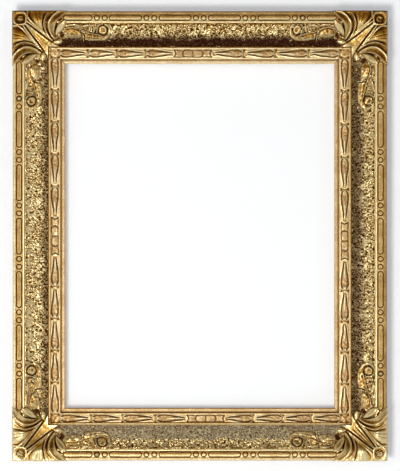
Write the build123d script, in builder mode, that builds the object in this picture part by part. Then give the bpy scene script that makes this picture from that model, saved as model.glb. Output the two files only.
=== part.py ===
from build123d import *
from math import cos, radians, sqrt
import os

os.makedirs("parts", exist_ok=True)

# An upright picture frame that hangs on a wall. x runs to the right, z up, the wall is the plane
# y = 0 and the front faces -y. The origin is the centre of the opening, on the wall.
# Every side is drawn in its own terms: "along" the side, "out" from the sight edge, and "height"
# in front of the wall.

# Picture and the rabbet that holds it
picture_width = 558.8
picture_height = 711.2
picture_allowance = 1.6
rabbet_lip = 7.5
rabbet_width = picture_width + 2 * picture_allowance
rabbet_height = picture_height + 2 * picture_allowance
sight_width = rabbet_width - 2 * rabbet_lip
sight_height = rabbet_height - 2 * rabbet_lip

# Heights in front of the wall
bumper_thickness = 6.0
back_thickness = 18.0
back_plane = bumper_thickness
back_front = back_plane + back_thickness
lap_plane = back_plane + back_thickness / 2

# Sight moulding: its members' widths follow one another out from the sight edge
sight_lip_step = 2.0
sight_lip_clearance = 0.2
sight_edge_width = 6.0
sight_edge_thickness = 6.0
quirk_width = 1.8
quirk_depth = 1.5
round_radius = 3.0
band_width = 17.4
band_thickness = 10.0
edge_round_width = 6.3
edge_round_rise = 2.0
band_start = sight_edge_width + quirk_width + round_radius
band_end = band_start + band_width
sight_moulding_width = band_end + edge_round_width

# Cove moulding: its members' widths follow those of the sight moulding
cove_width = 45.5
cove_low_offset = 7.5
cove_low_thickness = 8.5
cove_end_thickness = 25.0
crease_width = 1.0
inner_fillet_width = 4.3
fillet_rise = 3.0
fillet_round = 1.2
channel_width = 13.0
channel_depth = 2.5
outer_fillet_width = 6.2
cove_low_out = sight_moulding_width + cove_low_offset
cove_end_out = sight_moulding_width + cove_width
channel_start = cove_end_out + crease_width + inner_fillet_width
channel_end = channel_start + channel_width
rail_width = channel_end + outer_fillet_width
outer_edge_drop = 7.0
outer_foot_inset = 5.0
outer_foot_height = 10.0
outer_scoop_depth = 1.6

# Carving of the flat band: leaves that point to a centre motif
rail_leaves = 4
stile_leaves = 5
centre_length = 82.0
centre_cups = 2
leaf_web = 4.0
pocket_margin = 1.4
pocket_depth = 2.6
pod_rise = 0.6
pocket_shoulder_share = 0.32
pocket_shoulder_width_share = 1.0
pocket_bulge_share = 0.72
pocket_bulge_width_share = 0.62
pocket_tail_width_share = 0.8
pocket_notch_share = 0.12
pod_start_share = 0.2
pod_end_share = 0.86
centre_shift = {"top": -14.0, "bottom": 12.0, "left": 0.0, "right": -10.0}

# Bead strips: bars and pairs of beads in pockets
strip_side_clearance = 0.15
bead_pocket_edge = 0.55
bead_sink = 0.3
bead_spacing = 16.0
bead_pocket_margin = 1.5
bead_web = 2.6
strip_floor = 0.8
strip_drop = 0.3
rail_pairs = 5
rail_pitch_share = 0.18
stile_pairs = 6
stile_pitch_share = 0.1525
strip_width = channel_width - 2 * strip_side_clearance
pocket_radius = strip_width / 2 - bead_pocket_edge
bead_radius = pocket_radius - bead_pocket_margin

# Corner ornament, measured from the outer corner of the frame
ornament_setback = 4.5
ornament_skin = 4.0
ornament_bulge = 1.5
ornament_skirt = 8.0
ornament_rise = 3.5
boss_place = 15.0
boss_radius = 9.0
boss_sink = 2.5
cup_radius = 11.5
cup_lip = 2.2
wedge_start = 22.0
wedge_start_width = 9.0
wedge_end_width = 27.0
wedge_middle_share = 0.5
wedge_middle_width_share = 0.62
wedge_rim_width = 2.2
wedge_rim_height = 1.8
wedge_root = 6.0
wedge_heights = (6.5, 2.5, 3.0)
flute_radius = 6.5
flute_sink = 3.0
rib_width = 4.6
rib_rise = 2.4
bud_radius = 5.5
button_radius = 5.0
button_place_shares = (0.905, 0.605)
ornament_reach = rail_width - ornament_setback

# Scroll sprays, laid on the cove. Places are shares of the spray's length and of the cove's width.
spray_setback = 8.0
spray_start = ornament_reach + spray_setback
spray_length = 84.0
spray_end_margin = 1.2
ground_lift = 2.2
leaf_lift = 4.2
bulb_lift = 6.0
stem_lift = 4.8
volute_radius = 12.0
volute_rim = 3.2
volute_eye_radius = 5.6
volute_lift = 5.4
stem_width = 5.0

# Back frame hardware
screw_radius = 1.9
screw_clearance = 0.1
flat_head_radius = 4.0
flat_head_angle = 90.0
round_head_radius = 3.4
round_head_height = 1.6
slot_width = 0.9
slot_depth = 0.6
lap_screw_length = 15.0
moulding_screw_length = 24.0
button_screw_depth = 12.0
lap_screw_shares = (0.28, 0.62)
moulding_screw_inset = 25.5
moulding_screw_out = sight_moulding_width + moulding_screw_inset
moulding_screws_per_side = 3
moulding_screw_spread_share = 0.62
back_outer_inset = 7.0
key_leg = 34.0
key_thickness = 3.0
key_height = 4.0

# Turn buttons
button_thickness = 1.6
button_gap = 0.3
button_half_width = 5.5
button_nose = 16.5
button_tail = 5.0
button_pivot_margin = 12.0
button_bore_clearance = 0.05
rail_button_spacing = 300.0
stile_button_spacing = 340.0

# Hangers: a strap with a rolled knuckle, and a D-shaped ring in it
hanger_height = 250.0
hanger_edge_margin = 7.5
strap_width = 17.0
strap_length = 44.0
strap_thickness = 1.0
ring_wire_radius = 1.2
ring_running_clearance = 0.05
ring_half_width = 11.2
ring_leg = 4.0
ring_bend = 2.2
ring_split = 0.4
strap_screw_shares = (0.25, 0.75)

# Bumpers
bumper_radius = 10.0
bumper_corner_inset = 14.0

overrun = 5.0

band_height = back_front + band_thickness
sight_edge_height = back_front + sight_edge_thickness
cove_low_height = back_front + cove_low_thickness
cove_end_height = back_front + cove_end_thickness
fillet_height = cove_end_height + fillet_rise
channel_floor = fillet_height - channel_depth
strip_top = fillet_height - strip_drop
back_outer = rail_width - back_outer_inset
hanger_out = back_outer - strap_length - hanger_edge_margin
outer_width = sight_width + 2 * rail_width
outer_height = sight_height + 2 * rail_width

# The cove is a circular arc with its lowest point near the sight moulding
cove_run = cove_end_out - cove_low_out
cove_climb = cove_end_height - cove_low_height
cove_radius = (cove_run**2 + cove_climb**2) / (2 * cove_climb)
cove_centre_height = cove_low_height + cove_radius

front = Vector(0, -1, 0)
sides = ("top", "right", "bottom", "left")
outward = {
    "top": Vector(0, 0, 1),
    "right": Vector(1, 0, 0),
    "bottom": Vector(0, 0, -1),
    "left": Vector(-1, 0, 0),
}
half_sight = {side: sight_width / 2 for side in ("top", "bottom")}
half_sight |= {side: sight_height / 2 for side in ("left", "right")}
sight_reach = {side: sight_height / 2 for side in ("top", "bottom")}
sight_reach |= {side: sight_width / 2 for side in ("left", "right")}


def face_plane(side, height=0.0, along=0.0, out=0.0):
    """Plane of one side that faces the front: x runs along the side, y out from the sight edge."""
    along_direction = outward[side].cross(front)
    origin = outward[side] * (sight_reach[side] + out) + front * height + along_direction * along
    return Plane(origin=origin, x_dir=along_direction, z_dir=front)


def section_plane(side, along=0.0):
    """Plane across one side: x runs out from the sight edge and y to the front."""
    face = face_plane(side, along=along)
    return Plane(origin=face.origin, x_dir=face.y_dir, z_dir=face.x_dir)


def mitre_plane(side, end):
    """Plane of the mitre at one end of a side; the side lies below it."""
    face = face_plane(side, along=end * half_sight[side])
    return Plane(origin=face.origin, z_dir=face.x_dir * end - face.y_dir)


def cove_height(out, lift=0.0):
    """Height of the cove's surface, or of a surface that lies a lift above it."""
    return cove_centre_height - sqrt((cove_radius - lift) ** 2 - (out - cove_low_out) ** 2)


def cove_arc(start, end, lift=0.0):
    """Arc of the cove, or of a surface above it, between two places across the side."""
    points = [(out, cove_height(out, lift)) for out in (start, (start + end) / 2, end)]
    with BuildLine() as arc:
        ThreePointArc(*points)
    return arc.line


# Cross sections

def sight_section():
    """Lip, flat sight edge, quirk, quarter round, flat band and rounded outer edge."""
    lip_end = rabbet_lip - sight_lip_clearance
    lip_height = back_front - sight_lip_step
    quirk_end = sight_edge_width + quirk_width
    quirk_floor = sight_edge_height - quirk_depth
    edge_middle = (band_end + sight_moulding_width) / 2
    with BuildSketch() as section:
        with BuildLine():
            Polyline(
                (quirk_end, band_height - round_radius),
                (quirk_end, quirk_floor),
                (sight_edge_width, quirk_floor),
                (sight_edge_width, sight_edge_height),
                (0, sight_edge_height),
                (0, lip_height),
                (lip_end, lip_height),
                (lip_end, back_front),
                (sight_moulding_width, back_front),
                (sight_moulding_width, band_height),
            )
            ThreePointArc(
                (sight_moulding_width, band_height),
                (edge_middle, band_height + edge_round_rise),
                (band_end, band_height),
            )
            Line((band_end, band_height), (band_start, band_height))
            RadiusArc((band_start, band_height), (quirk_end, band_height - round_radius), -round_radius)
        make_face()
    return section.sketch


def cove_section():
    """Cove, crease, inner fillet, bead channel, outer fillet and the scooped outer side."""
    foot_out = rail_width - outer_foot_inset
    foot_top = back_front + outer_foot_height
    edge_bottom = fillet_height - outer_edge_drop
    fillet_start = cove_end_out + crease_width
    scoop_middle = ((foot_out + rail_width) / 2 - outer_scoop_depth, (foot_top + edge_bottom) / 2)
    with BuildSketch() as section:
        with BuildLine():
            add(cove_arc(sight_moulding_width, cove_end_out))
            Polyline(
                (cove_end_out, cove_end_height),
                (fillet_start, cove_end_height),
                (fillet_start, fillet_height),
                (channel_start, fillet_height),
                (channel_start, channel_floor),
                (channel_end, channel_floor),
                (channel_end, fillet_height),
                (rail_width, fillet_height),
                (rail_width, edge_bottom),
            )
            ThreePointArc((rail_width, edge_bottom), scoop_middle, (foot_out, foot_top))
            Polyline(
                (foot_out, foot_top),
                (foot_out, back_front),
                (sight_moulding_width, back_front),
                (sight_moulding_width, cove_height(sight_moulding_width)),
            )
        make_face()
        tops = section.vertices().filter_by(lambda corner: abs(corner.Y - fillet_height) < fillet_round)
        fillet(tops, radius=fillet_round)
    return section.sketch


def ornament_section(rise=0.0):
    """Blank that a corner ornament is cut from, over the cove and the beading, or a layer on it."""
    skin = ornament_skin + rise
    start = sight_moulding_width
    end = cove_end_out - crease_width
    top = fillet_height + ornament_rise + rise
    edge = rail_width + ornament_bulge
    with BuildSketch() as section:
        with BuildLine():
            add(cove_arc(start, end, skin))
            Polyline(
                (end, cove_height(end, skin)),
                (channel_start, top),
                (rail_width - ornament_bulge, top),
                (edge, top - 2 * ornament_bulge),
                (edge, fillet_height - ornament_skirt),
                (start, back_front),
                (start, cove_height(start, skin)),
            )
        make_face()
    return section.sketch


# Screws, drawn with the axis along z and the tip down

def round_screw(length):
    """Round-headed screw; the head sits on z = 0."""
    with BuildPart() as screw:
        with BuildSketch():
            Circle(screw_radius)
        extrude(amount=-length)
        with BuildSketch():
            Circle(round_head_radius)
        extrude(amount=round_head_height)
        fillet(faces().sort_by(Axis.Z)[-1].edges(), radius=round_head_height / 2)
        with BuildSketch(Plane.XY.offset(round_head_height)):
            Rectangle(2 * round_head_radius, slot_width)
        extrude(amount=-slot_depth, mode=Mode.SUBTRACT)
    return screw.part


def flat_screw(length):
    """Countersunk screw; the head's face lies on z = 0."""
    with BuildPart() as screw:
        with BuildSketch(Plane.XZ):
            with BuildLine():
                Polyline(
                    (0, 0),
                    (flat_head_radius, 0),
                    (screw_radius, screw_radius - flat_head_radius),
                    (screw_radius, -length),
                    (0, -length),
                    close=True,
                )
            make_face()
        revolve(axis=Axis.Z)
        with BuildSketch():
            Rectangle(2 * flat_head_radius, slot_width)
        extrude(amount=-slot_depth, mode=Mode.SUBTRACT)
    return screw.part


def back_face(side, along, out, height=back_plane):
    """Plane on the back of one side that faces the wall, where a screw is driven in."""
    face = face_plane(side, height, along, out)
    return Plane(origin=face.origin, x_dir=face.x_dir, z_dir=-face.z_dir)


def at_planes(planes, part):
    """Copies of a part, one on each plane."""
    return [plane.location * part for plane in planes]


# Places of the screws and of the turn buttons

lap_half_length = {side: half_sight[side] + back_outer for side in sides}
lap_start = {side: half_sight[side] + rabbet_lip for side in sides}
lap_size = back_outer - rabbet_lip

lap_screw_places = []
for side in ("left", "right"):
    for end in (-1, 1):
        first, second = (share * lap_size for share in lap_screw_shares)
        for inner, outer in ((first, second), (second, first)):
            lap_screw_places.append((side, end * (lap_start[side] + inner), rabbet_lip + outer))

moulding_screw_places = []
for side in sides:
    reach = moulding_screw_spread_share * half_sight[side]
    gap = 2 * reach / (moulding_screws_per_side - 1)
    for index in range(moulding_screws_per_side):
        moulding_screw_places.append((side, index * gap - reach, moulding_screw_out))

strap_screw_places = []
for side, end in (("left", 1), ("right", -1)):
    for share in strap_screw_shares:
        strap_screw_places.append((side, end * hanger_height, hanger_out + share * strap_length))

button_out = rabbet_lip + button_pivot_margin
button_spacing = {"top": rail_button_spacing, "bottom": rail_button_spacing}
button_spacing |= {"left": stile_button_spacing, "right": stile_button_spacing}
button_places = []
for side in sides:
    for end in (-1, 1):
        button_places.append((side, end * button_spacing[side] / 2, button_out))


# Back frame: four rails, half lapped, which make the rabbet

def back_member(side, lap_height):
    """One rail of the back frame, with its half laps, screw holes and countersinks."""
    with BuildPart() as member:
        with BuildSketch(face_plane(side, back_plane, out=(rabbet_lip + back_outer) / 2)):
            Rectangle(2 * lap_half_length[side], lap_size)
        extrude(amount=back_thickness)
        with BuildSketch(face_plane(side, lap_height, out=(rabbet_lip + back_outer) / 2)):
            with Locations((lap_start[side] + lap_size / 2, 0), (-lap_start[side] - lap_size / 2, 0)):
                Rectangle(lap_size, lap_size)
        extrude(amount=back_thickness / 2, mode=Mode.SUBTRACT)
        hole = screw_radius + screw_clearance
        sink = flat_head_radius + screw_clearance
        planes = [back_face(*place) for place in moulding_screw_places if place[0] == side]
        if lap_height == lap_plane:
            planes += [back_face(*place) for place in lap_screw_places if place[0] == side]
        with Locations(*planes):
            CounterSinkHole(hole, sink, counter_sink_angle=flat_head_angle)
        pilots = [back_face(*place) for place in button_places + strap_screw_places if place[0] == side]
        with Locations(*pilots):
            Hole(hole, depth=button_screw_depth)
        if lap_height == back_plane:
            with Locations(*[back_face(*place) for place in lap_screw_places]):
                Hole(hole, depth=lap_screw_length + screw_clearance)
    return member.part


back_members = {
    "back_rail_top": back_member("top", back_plane),
    "back_rail_bottom": back_member("bottom", back_plane),
    "back_stile_left": back_member("left", lap_plane),
    "back_stile_right": back_member("right", lap_plane),
}
for name, part in back_members.items():
    part.label = name
    export_step(part, f"parts/{name}.step")

# Wooden keys across the mitres, let into the outer sides

key_reach = rail_width - outer_foot_inset
key_solids = []
for end_x in (-1, 1):
    for end_z in (-1, 1):
        corner_x = end_x * (sight_width / 2 + key_reach)
        corner_z = end_z * (sight_height / 2 + key_reach)
        key_plane = Plane(origin=(0, -back_front - key_height, 0), x_dir=(1, 0, 0), z_dir=(0, -1, 0))
        with BuildPart() as key:
            with BuildSketch(key_plane):
                with BuildLine():
                    Polyline(
                        (corner_x, corner_z),
                        (corner_x - end_x * key_leg, corner_z),
                        (corner_x, corner_z - end_z * key_leg),
                        close=True,
                    )
                make_face()
            extrude(amount=key_thickness)
        key_solids.append(key.part)

with BuildPart() as mitre_keys:
    add(key_solids)
mitre_keys.part.label = "mitre_keys"
export_step(mitre_keys.part, "parts/mitre_keys.step")

# Cove mouldings

moulding_hole_depth = moulding_screw_length + screw_clearance

for side in sides:
    with BuildPart() as cove_moulding:
        with BuildSketch(section_plane(side)):
            add(cove_section())
        extrude(amount=half_sight[side] + rail_width + overrun, both=True)
        split(bisect_by=mitre_plane(side, -1), keep=Keep.BOTTOM)
        split(bisect_by=mitre_plane(side, 1), keep=Keep.BOTTOM)
        add(key_solids, mode=Mode.SUBTRACT)
        with Locations(*[back_face(*place) for place in moulding_screw_places if place[0] == side]):
            Hole(screw_radius + screw_clearance, depth=moulding_hole_depth)
    cove_moulding.part.label = f"cove_moulding_{side}"
    export_step(cove_moulding.part, f"parts/cove_moulding_{side}.step")


# Sight mouldings, with leaves sunk in their flat band

def leaf_pocket(length):
    """Cutter for one leaf's pocket: the tip points along +x from a notched tail at x = 0."""
    half_width = (band_end - band_start) / 2 - pocket_margin
    tip = (length, 0)
    with BuildPart() as pocket:
        with BuildSketch():
            for hand in (-1, 1):
                tail = (0, hand * pocket_tail_width_share * half_width)
                shoulder = (
                    pocket_shoulder_share * length,
                    hand * pocket_shoulder_width_share * half_width,
                )
                bulge = (pocket_bulge_share * length, hand * pocket_bulge_width_share * half_width)
                notch = (pocket_notch_share * length, 0)
                with BuildLine():
                    Polyline(shoulder, tail, notch, tip)
                    ThreePointArc(tip, bulge, shoulder)
                make_face()
        extrude(amount=-pocket_depth)
    return pocket.part


def leaf_pod(length):
    """Raised pod that lies in a pocket, a spindle along +x."""
    radius = pocket_depth + pod_rise
    start = pod_start_share * length
    end = pod_end_share * length
    with BuildPart() as pod:
        with BuildSketch(Plane.XY.offset(-pocket_depth)):
            with BuildLine():
                ThreePointArc((start, 0), ((start + end) / 2, radius), (end, 0))
                Line((end, 0), (start, 0))
            make_face()
        revolve(axis=Axis((0, 0, -pocket_depth), (1, 0, 0)))
    return pod.part


def leaf_runs(side):
    """For each half of a side: the end it starts from, its pitch, and how many leaves it has."""
    leaves = rail_leaves if side in ("top", "bottom") else stile_leaves
    half_band = half_sight[side] + band_start
    for end in (-1, 1):
        centre_edge = shift_along(side) * end + centre_length / 2
        yield end, (half_band - centre_edge) / leaves, leaves, half_band
        yield end, centre_length / 2 / centre_cups, centre_cups, centre_edge


def shift_along(side):
    """Where the centre motif lies, along the side's own x direction."""
    direction = face_plane(side).x_dir
    return centre_shift[side] * (direction.X + direction.Z)


for side in sides:
    band_middle = (band_start + band_end) / 2
    pockets = []
    pods = []
    for end, pitch, count, start in leaf_runs(side):
        length = pitch - leaf_web
        for index in range(count):
            along = end * (start - index * pitch - leaf_web / 2)
            face = face_plane(side, band_height, along, band_middle)
            leaf_plane = Plane(origin=face.origin, x_dir=face.x_dir * -end, z_dir=front)
            pockets.append(leaf_plane.location * leaf_pocket(length))
            pods.append(leaf_plane.location * leaf_pod(length))
    with BuildPart() as sight_moulding:
        with BuildSketch(section_plane(side)):
            add(sight_section())
        extrude(amount=half_sight[side] + rail_width, both=True)
        add(pockets, mode=Mode.SUBTRACT)
        add(pods)
        split(bisect_by=mitre_plane(side, -1), keep=Keep.BOTTOM)
        split(bisect_by=mitre_plane(side, 1), keep=Keep.BOTTOM)
    sight_moulding.part.label = f"sight_moulding_{side}"
    export_step(sight_moulding.part, f"parts/sight_moulding_{side}.step")

# Bead strips

strip_out = (channel_start + channel_end) / 2

for side in sides:
    pairs = rail_pairs if side in ("top", "bottom") else stile_pairs
    pitch_share = rail_pitch_share if side in ("top", "bottom") else stile_pitch_share
    strip_half = half_sight[side] + ornament_setback
    pair_pitch = pitch_share * 2 * strip_half
    pair_places = [(index - (pairs - 1) / 2) * pair_pitch for index in range(pairs)]
    beads = [place + hand * bead_spacing / 2 for place in pair_places for hand in (-1, 1)]
    bar_gap = bead_spacing / 2 + 2 * pocket_radius + bead_web - bead_pocket_margin
    starts = [-strip_half + bead_web] + [place + bar_gap - bead_radius for place in pair_places]
    ends = [place - bar_gap + bead_radius for place in pair_places] + [strip_half - bead_web]
    bars = [(start, end) for start, end in zip(starts, ends) if end - start > 2 * bead_radius]
    bead_plane = face_plane(side, channel_floor + strip_floor - bead_sink, out=strip_out)
    with BuildPart() as bead_strip:
        with BuildSketch(face_plane(side, channel_floor, out=strip_out)):
            Rectangle(2 * strip_half, strip_width)
        extrude(amount=strip_top - channel_floor)
        with BuildSketch(face_plane(side, channel_floor + strip_floor, out=strip_out)):
            with Locations(*[(place, 0) for place in beads]):
                Circle(pocket_radius)
            for start, end in bars:
                with Locations(((start + end) / 2, 0)):
                    SlotOverall(end - start + 2 * bead_pocket_margin, 2 * pocket_radius)
        extrude(amount=strip_top, mode=Mode.SUBTRACT)
        with Locations(bead_plane):
            with Locations(*[(place, 0) for place in beads]):
                Sphere(bead_radius)
            for start, end in bars:
                with Locations(((start + end) / 2, 0)):
                    Cylinder(bead_radius, end - start - 2 * bead_radius, rotation=(0, 90, 0))
                with Locations((start + bead_radius, 0), (end - bead_radius, 0)):
                    Sphere(bead_radius)
        split(bisect_by=face_plane(side, channel_floor), keep=Keep.TOP)
    bead_strip.part.label = f"bead_strip_{side}"
    export_step(bead_strip.part, f"parts/bead_strip_{side}.step")

# Corner ornaments. The one at the top right is drawn, in a plane whose x and y run inwards along
# the rail and down the stile from the outer corner, and the others are its mirror images.

corner = Plane(
    origin=(outer_width / 2, 0, outer_height / 2), x_dir=(-1, 0, 0), z_dir=(0, -1, 0)
)
ornament_outline_shares = (
    (0.06, -0.03), (0.30, -0.015), (0.52, -0.025), (0.78, -0.01), (0.97, -0.015), (0.995, 0.10),
    (0.97, 0.22), (0.93, 0.40), (0.95, 0.56), (0.93, 0.66), (0.80, 0.69),
)
flute_ends_shares = (
    ((0.31, 0.21), (0.26, 0.03)),
    ((0.41, 0.28), (0.39, 0.02)),
    ((0.50, 0.36), (0.52, 0.03)),
    ((0.59, 0.44), (0.64, 0.08)),
)
rib_path_shares = (
    ((0.83, 0.54), (0.735, 0.30), (0.955, 0.03)),
    ((0.90, 0.50), (0.82, 0.28), (0.96, 0.10)),
)
bud_ends_shares = ((0.965, 0.235), (0.84, 0.40))


def skin_height(point):
    """Height of the ornament's smooth blank over a place given from the outer corner."""
    out = rail_width - min(point)
    if out > cove_end_out:
        return fillet_height + ornament_rise
    return cove_height(max(out, sight_moulding_width), ornament_skin)


def corner_point(x_share, y_share, rise=0.0):
    """Point on the blank, by shares of the ornament's reach, and a rise above its surface."""
    place = (x_share * ornament_reach, y_share * ornament_reach)
    return corner.from_local_coords((*place, skin_height(place) + rise))


def swapped(points, hand):
    """Places on the rail's half of the corner, or the same places on the stile's half."""
    return [point if hand > 0 else (point[1], point[0]) for point in points]


def corner_runs(section):
    """The two lengths of a cross section that meet in the mitre at the drawn corner."""
    runs = []
    for side, end in (("top", 1), ("right", -1)):
        start = end * (half_sight[side] - overrun)
        with BuildPart() as run:
            with BuildSketch(section_plane(side, start)):
                add(section)
            extrude(amount=end * (rail_width + 2 * overrun))
            split(bisect_by=mitre_plane(side, end), keep=Keep.BOTTOM)
        runs.append(run.part)
    return runs


def spindle(start, end, radius):
    """Pointed bar between two points."""
    path = end - start
    side_plane = Plane(origin=start, x_dir=path, z_dir=path.cross(front))
    with BuildPart() as bar:
        with BuildSketch(side_plane):
            with BuildLine():
                ThreePointArc((0, 0), (path.length / 2, -radius), (path.length, 0))
                Line((path.length, 0), (0, 0))
            make_face()
        revolve(axis=Axis(start, path))
    return bar.part


def rib_outline(shares):
    """Outline of a rib along an arc through three places of the corner's plane."""
    with BuildSketch() as outline:
        with BuildLine() as path:
            ThreePointArc(*[(x * ornament_reach, y * ornament_reach) for x, y in shares])
        trace(path.line, line_width=rib_width)
    return outline.sketch


def wedge():
    """Tapered plate on the mitre, with a raised rim along each edge."""
    end = rail_width - sight_moulding_width
    middle = wedge_start + wedge_middle_share * (end - wedge_start)
    middle_width = wedge_middle_width_share * wedge_end_width
    stations = zip((wedge_start, middle, end), (wedge_start_width, middle_width, wedge_end_width))
    inward = (corner.x_dir + corner.y_dir).normalized()
    with BuildPart() as plate:
        for (place, width), rise in zip(stations, wedge_heights):
            base = corner.from_local_coords((place, place, skin_height((place, place))))
            half = width / 2
            with BuildSketch(Plane(origin=base, x_dir=front.cross(inward), z_dir=inward)):
                with BuildLine():
                    Polyline(
                        (-half, -wedge_root),
                        (-half, rise),
                        (-half + wedge_rim_width, rise),
                        (-half + wedge_rim_width, rise - wedge_rim_height),
                        (half - wedge_rim_width, rise - wedge_rim_height),
                        (half - wedge_rim_width, rise),
                        (half, rise),
                        (half, -wedge_root),
                        close=True,
                    )
                make_face()
        loft(ruled=True)
    return plate.part


rib_outlines = []
ornament_pieces = [wedge()]
for hand in (-1, 1):
    for ends in flute_ends_shares:
        points = [corner_point(*place, -flute_sink) for place in swapped(ends, hand)]
        ornament_pieces.append(spindle(*points, flute_radius))
    rib_outlines += [rib_outline(swapped(path, hand)) for path in rib_path_shares]
    points = [corner_point(*place) for place in swapped(bud_ends_shares, hand)]
    ornament_pieces.append(spindle(*points, bud_radius))
    button_point = corner_point(*swapped([button_place_shares], hand)[0])
    with BuildPart(Plane(origin=button_point, z_dir=front)) as button:
        Sphere(button_radius)
    ornament_pieces.append(button.part)

boss_centre = corner.from_local_coords((boss_place, boss_place, fillet_height + ornament_rise))
with BuildPart(Plane(origin=boss_centre, z_dir=front)) as boss:
    with Locations((0, 0, -boss_sink)):
        Sphere(boss_radius)
    Torus(cup_radius, cup_lip)
ornament_pieces.append(boss.part)

blank_runs = corner_runs(ornament_section())
rib_runs = corner_runs(ornament_section(rib_rise))
moulding_runs = corner_runs(cove_section())
sight_runs = corner_runs(sight_section())

with BuildPart() as ribs:
    add(rib_runs)
    with BuildSketch(corner):
        add(rib_outlines)
    extrude(amount=outer_width, mode=Mode.INTERSECT)

with BuildPart() as ornament:
    add(blank_runs)
    with BuildSketch(corner):
        with BuildLine():
            shares = list(ornament_outline_shares)
            shares += [(y, x) for x, y in reversed(ornament_outline_shares)]
            Polyline(*[(x * ornament_reach, y * ornament_reach) for x, y in shares], close=True)
        make_face()
    extrude(amount=outer_width, mode=Mode.INTERSECT)
    add(ribs)
    add(ornament_pieces)
    add(moulding_runs, mode=Mode.SUBTRACT)
    add(sight_runs, mode=Mode.SUBTRACT)

mirrors = {
    "top_right": (),
    "top_left": (Plane.YZ,),
    "bottom_right": (Plane.XY,),
    "bottom_left": (Plane.YZ, Plane.XY),
}
for name, planes in mirrors.items():
    piece = ornament.part
    for plane in planes:
        with BuildPart() as corner_ornament:
            mirror(piece, about=plane)
        piece = corner_ornament.part
    piece.label = f"corner_ornament_{name}"
    export_step(piece, f"parts/corner_ornament_{name}.step")

# Scroll sprays: flat outlines laid on the cove, each as thick as its lift

ground_shares = (
    (0.0, 0.50), (0.10, 0.78), (0.24, 0.66), (0.36, 0.90), (0.52, 0.80), (0.66, 0.92), (0.80, 0.66),
    (0.70, 0.40), (0.56, 0.22), (0.40, 0.26), (0.30, 0.14), (0.14, 0.22),
)
bulb_shares = (((0.0, 0.54), (0.36, 0.62), 0.26),)
leaf_shares = (
    ((0.34, 0.84), (0.70, 0.93), 0.09),
    ((0.30, 0.44), (0.86, 0.36), 0.17),
    ((0.06, 0.72), (0.28, 0.90), 0.10),
    ((0.24, 0.30), (0.46, 0.08), 0.09),
)
stem_shares = ((0.30, 0.56), (0.48, 0.72))
volute_share = (0.84, 0.68)


def spray_point(side, end, share_along, share_out):
    """Place on a side's face, by shares of the spray's length and of the cove's width."""
    from_corner = spray_start + share_along * spray_length
    out = sight_moulding_width + share_out * (cove_end_out - sight_moulding_width)
    return (end * (half_sight[side] + rail_width - from_corner), out)


def leaf_outline(base, tip, width_share):
    """Pointed leaf between two points, drawn with two arcs."""
    start = Vector(*base)
    end = Vector(*tip)
    across = (end - start).cross(Vector(0, 0, 1)).normalized()
    half_width = width_share * (cove_end_out - sight_moulding_width)
    middle = (start + end) / 2
    with BuildSketch() as leaf:
        with BuildLine():
            ThreePointArc(start, middle + across * half_width, end)
            ThreePointArc(end, middle - across * half_width, start)
        make_face()
    return leaf.sketch


def cove_skin(lift):
    """Section of a layer on the cove."""
    start = sight_moulding_width + spray_end_margin
    end = cove_end_out - spray_end_margin
    with BuildSketch() as skin:
        with BuildLine():
            add(cove_arc(start, end))
            Line((end, cove_height(end)), (end, cove_height(end, lift)))
            add(cove_arc(end, start, lift))
            Line((start, cove_height(start, lift)), (start, cove_height(start)))
        make_face()
    return skin.sketch


def draped(side, lift, outlines):
    """Layer cut to its outlines, as thick as its lift."""
    with BuildPart() as layer:
        with BuildSketch(face_plane(side)):
            add(outlines)
        extrude(amount=outer_width)
        with BuildSketch(section_plane(side)):
            add(cove_skin(lift))
        extrude(amount=half_sight[side] + rail_width, both=True, mode=Mode.INTERSECT)
    return layer.part


def spray_leaves(side, end, table):
    """Leaves of a table of shares: base, tip and half width."""
    leaves = []
    for base, tip, width_share in table:
        leaves.append(leaf_outline(spray_point(side, end, *base), spray_point(side, end, *tip), width_share))
    return leaves


def scroll_spray(side, end):
    """Foliage beside a corner, which ends in a scroll."""
    volute = spray_point(side, end, *volute_share)
    stem_end = (volute[0] + end * volute_radius / 2, volute[1] + volute_radius / 2)
    with BuildSketch() as ground:
        with BuildLine():
            Polyline(*[spray_point(side, end, *share) for share in ground_shares], close=True)
        make_face()
        with Locations(volute):
            Circle(volute_radius - volute_rim / 2)
    with BuildSketch() as scroll:
        with Locations(volute):
            Circle(volute_radius)
            Circle(volute_radius - volute_rim, mode=Mode.SUBTRACT)
            Circle(volute_eye_radius)
    with BuildSketch() as stem:
        with BuildLine() as path:
            ThreePointArc(*[spray_point(side, end, *share) for share in stem_shares], stem_end)
        trace(path.line, line_width=stem_width)
    layers = [
        draped(side, ground_lift, ground.sketch),
        draped(side, leaf_lift, spray_leaves(side, end, leaf_shares)),
        draped(side, bulb_lift, spray_leaves(side, end, bulb_shares)),
        draped(side, volute_lift, scroll.sketch),
        draped(side, stem_lift, stem.sketch),
    ]
    with BuildPart() as spray:
        add(layers)
    return spray.part


end_names = {
    "top": ((-1, "left"), (1, "right")),
    "bottom": ((1, "left"), (-1, "right")),
    "left": ((1, "upper"), (-1, "lower")),
    "right": ((-1, "upper"), (1, "lower")),
}
for side in sides:
    for end, end_name in end_names[side]:
        spray = scroll_spray(side, end)
        spray.label = f"scroll_spray_{side}_{end_name}"
        export_step(spray, f"parts/scroll_spray_{side}_{end_name}.step")

# Screws of the back frame

lap_planes = [back_face(*place) for place in lap_screw_places]
moulding_planes = [back_face(*place) for place in moulding_screw_places]

with BuildPart() as lap_screws:
    add(at_planes(lap_planes, flat_screw(lap_screw_length)))
lap_screws.part.label = "lap_screws"
export_step(lap_screws.part, "parts/lap_screws.step")

with BuildPart() as moulding_screws:
    add(at_planes(moulding_planes, flat_screw(moulding_screw_length)))
moulding_screws.part.label = "moulding_screws"
export_step(moulding_screws.part, "parts/moulding_screws.step")

# Turn buttons, each on a screw of its own

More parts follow.
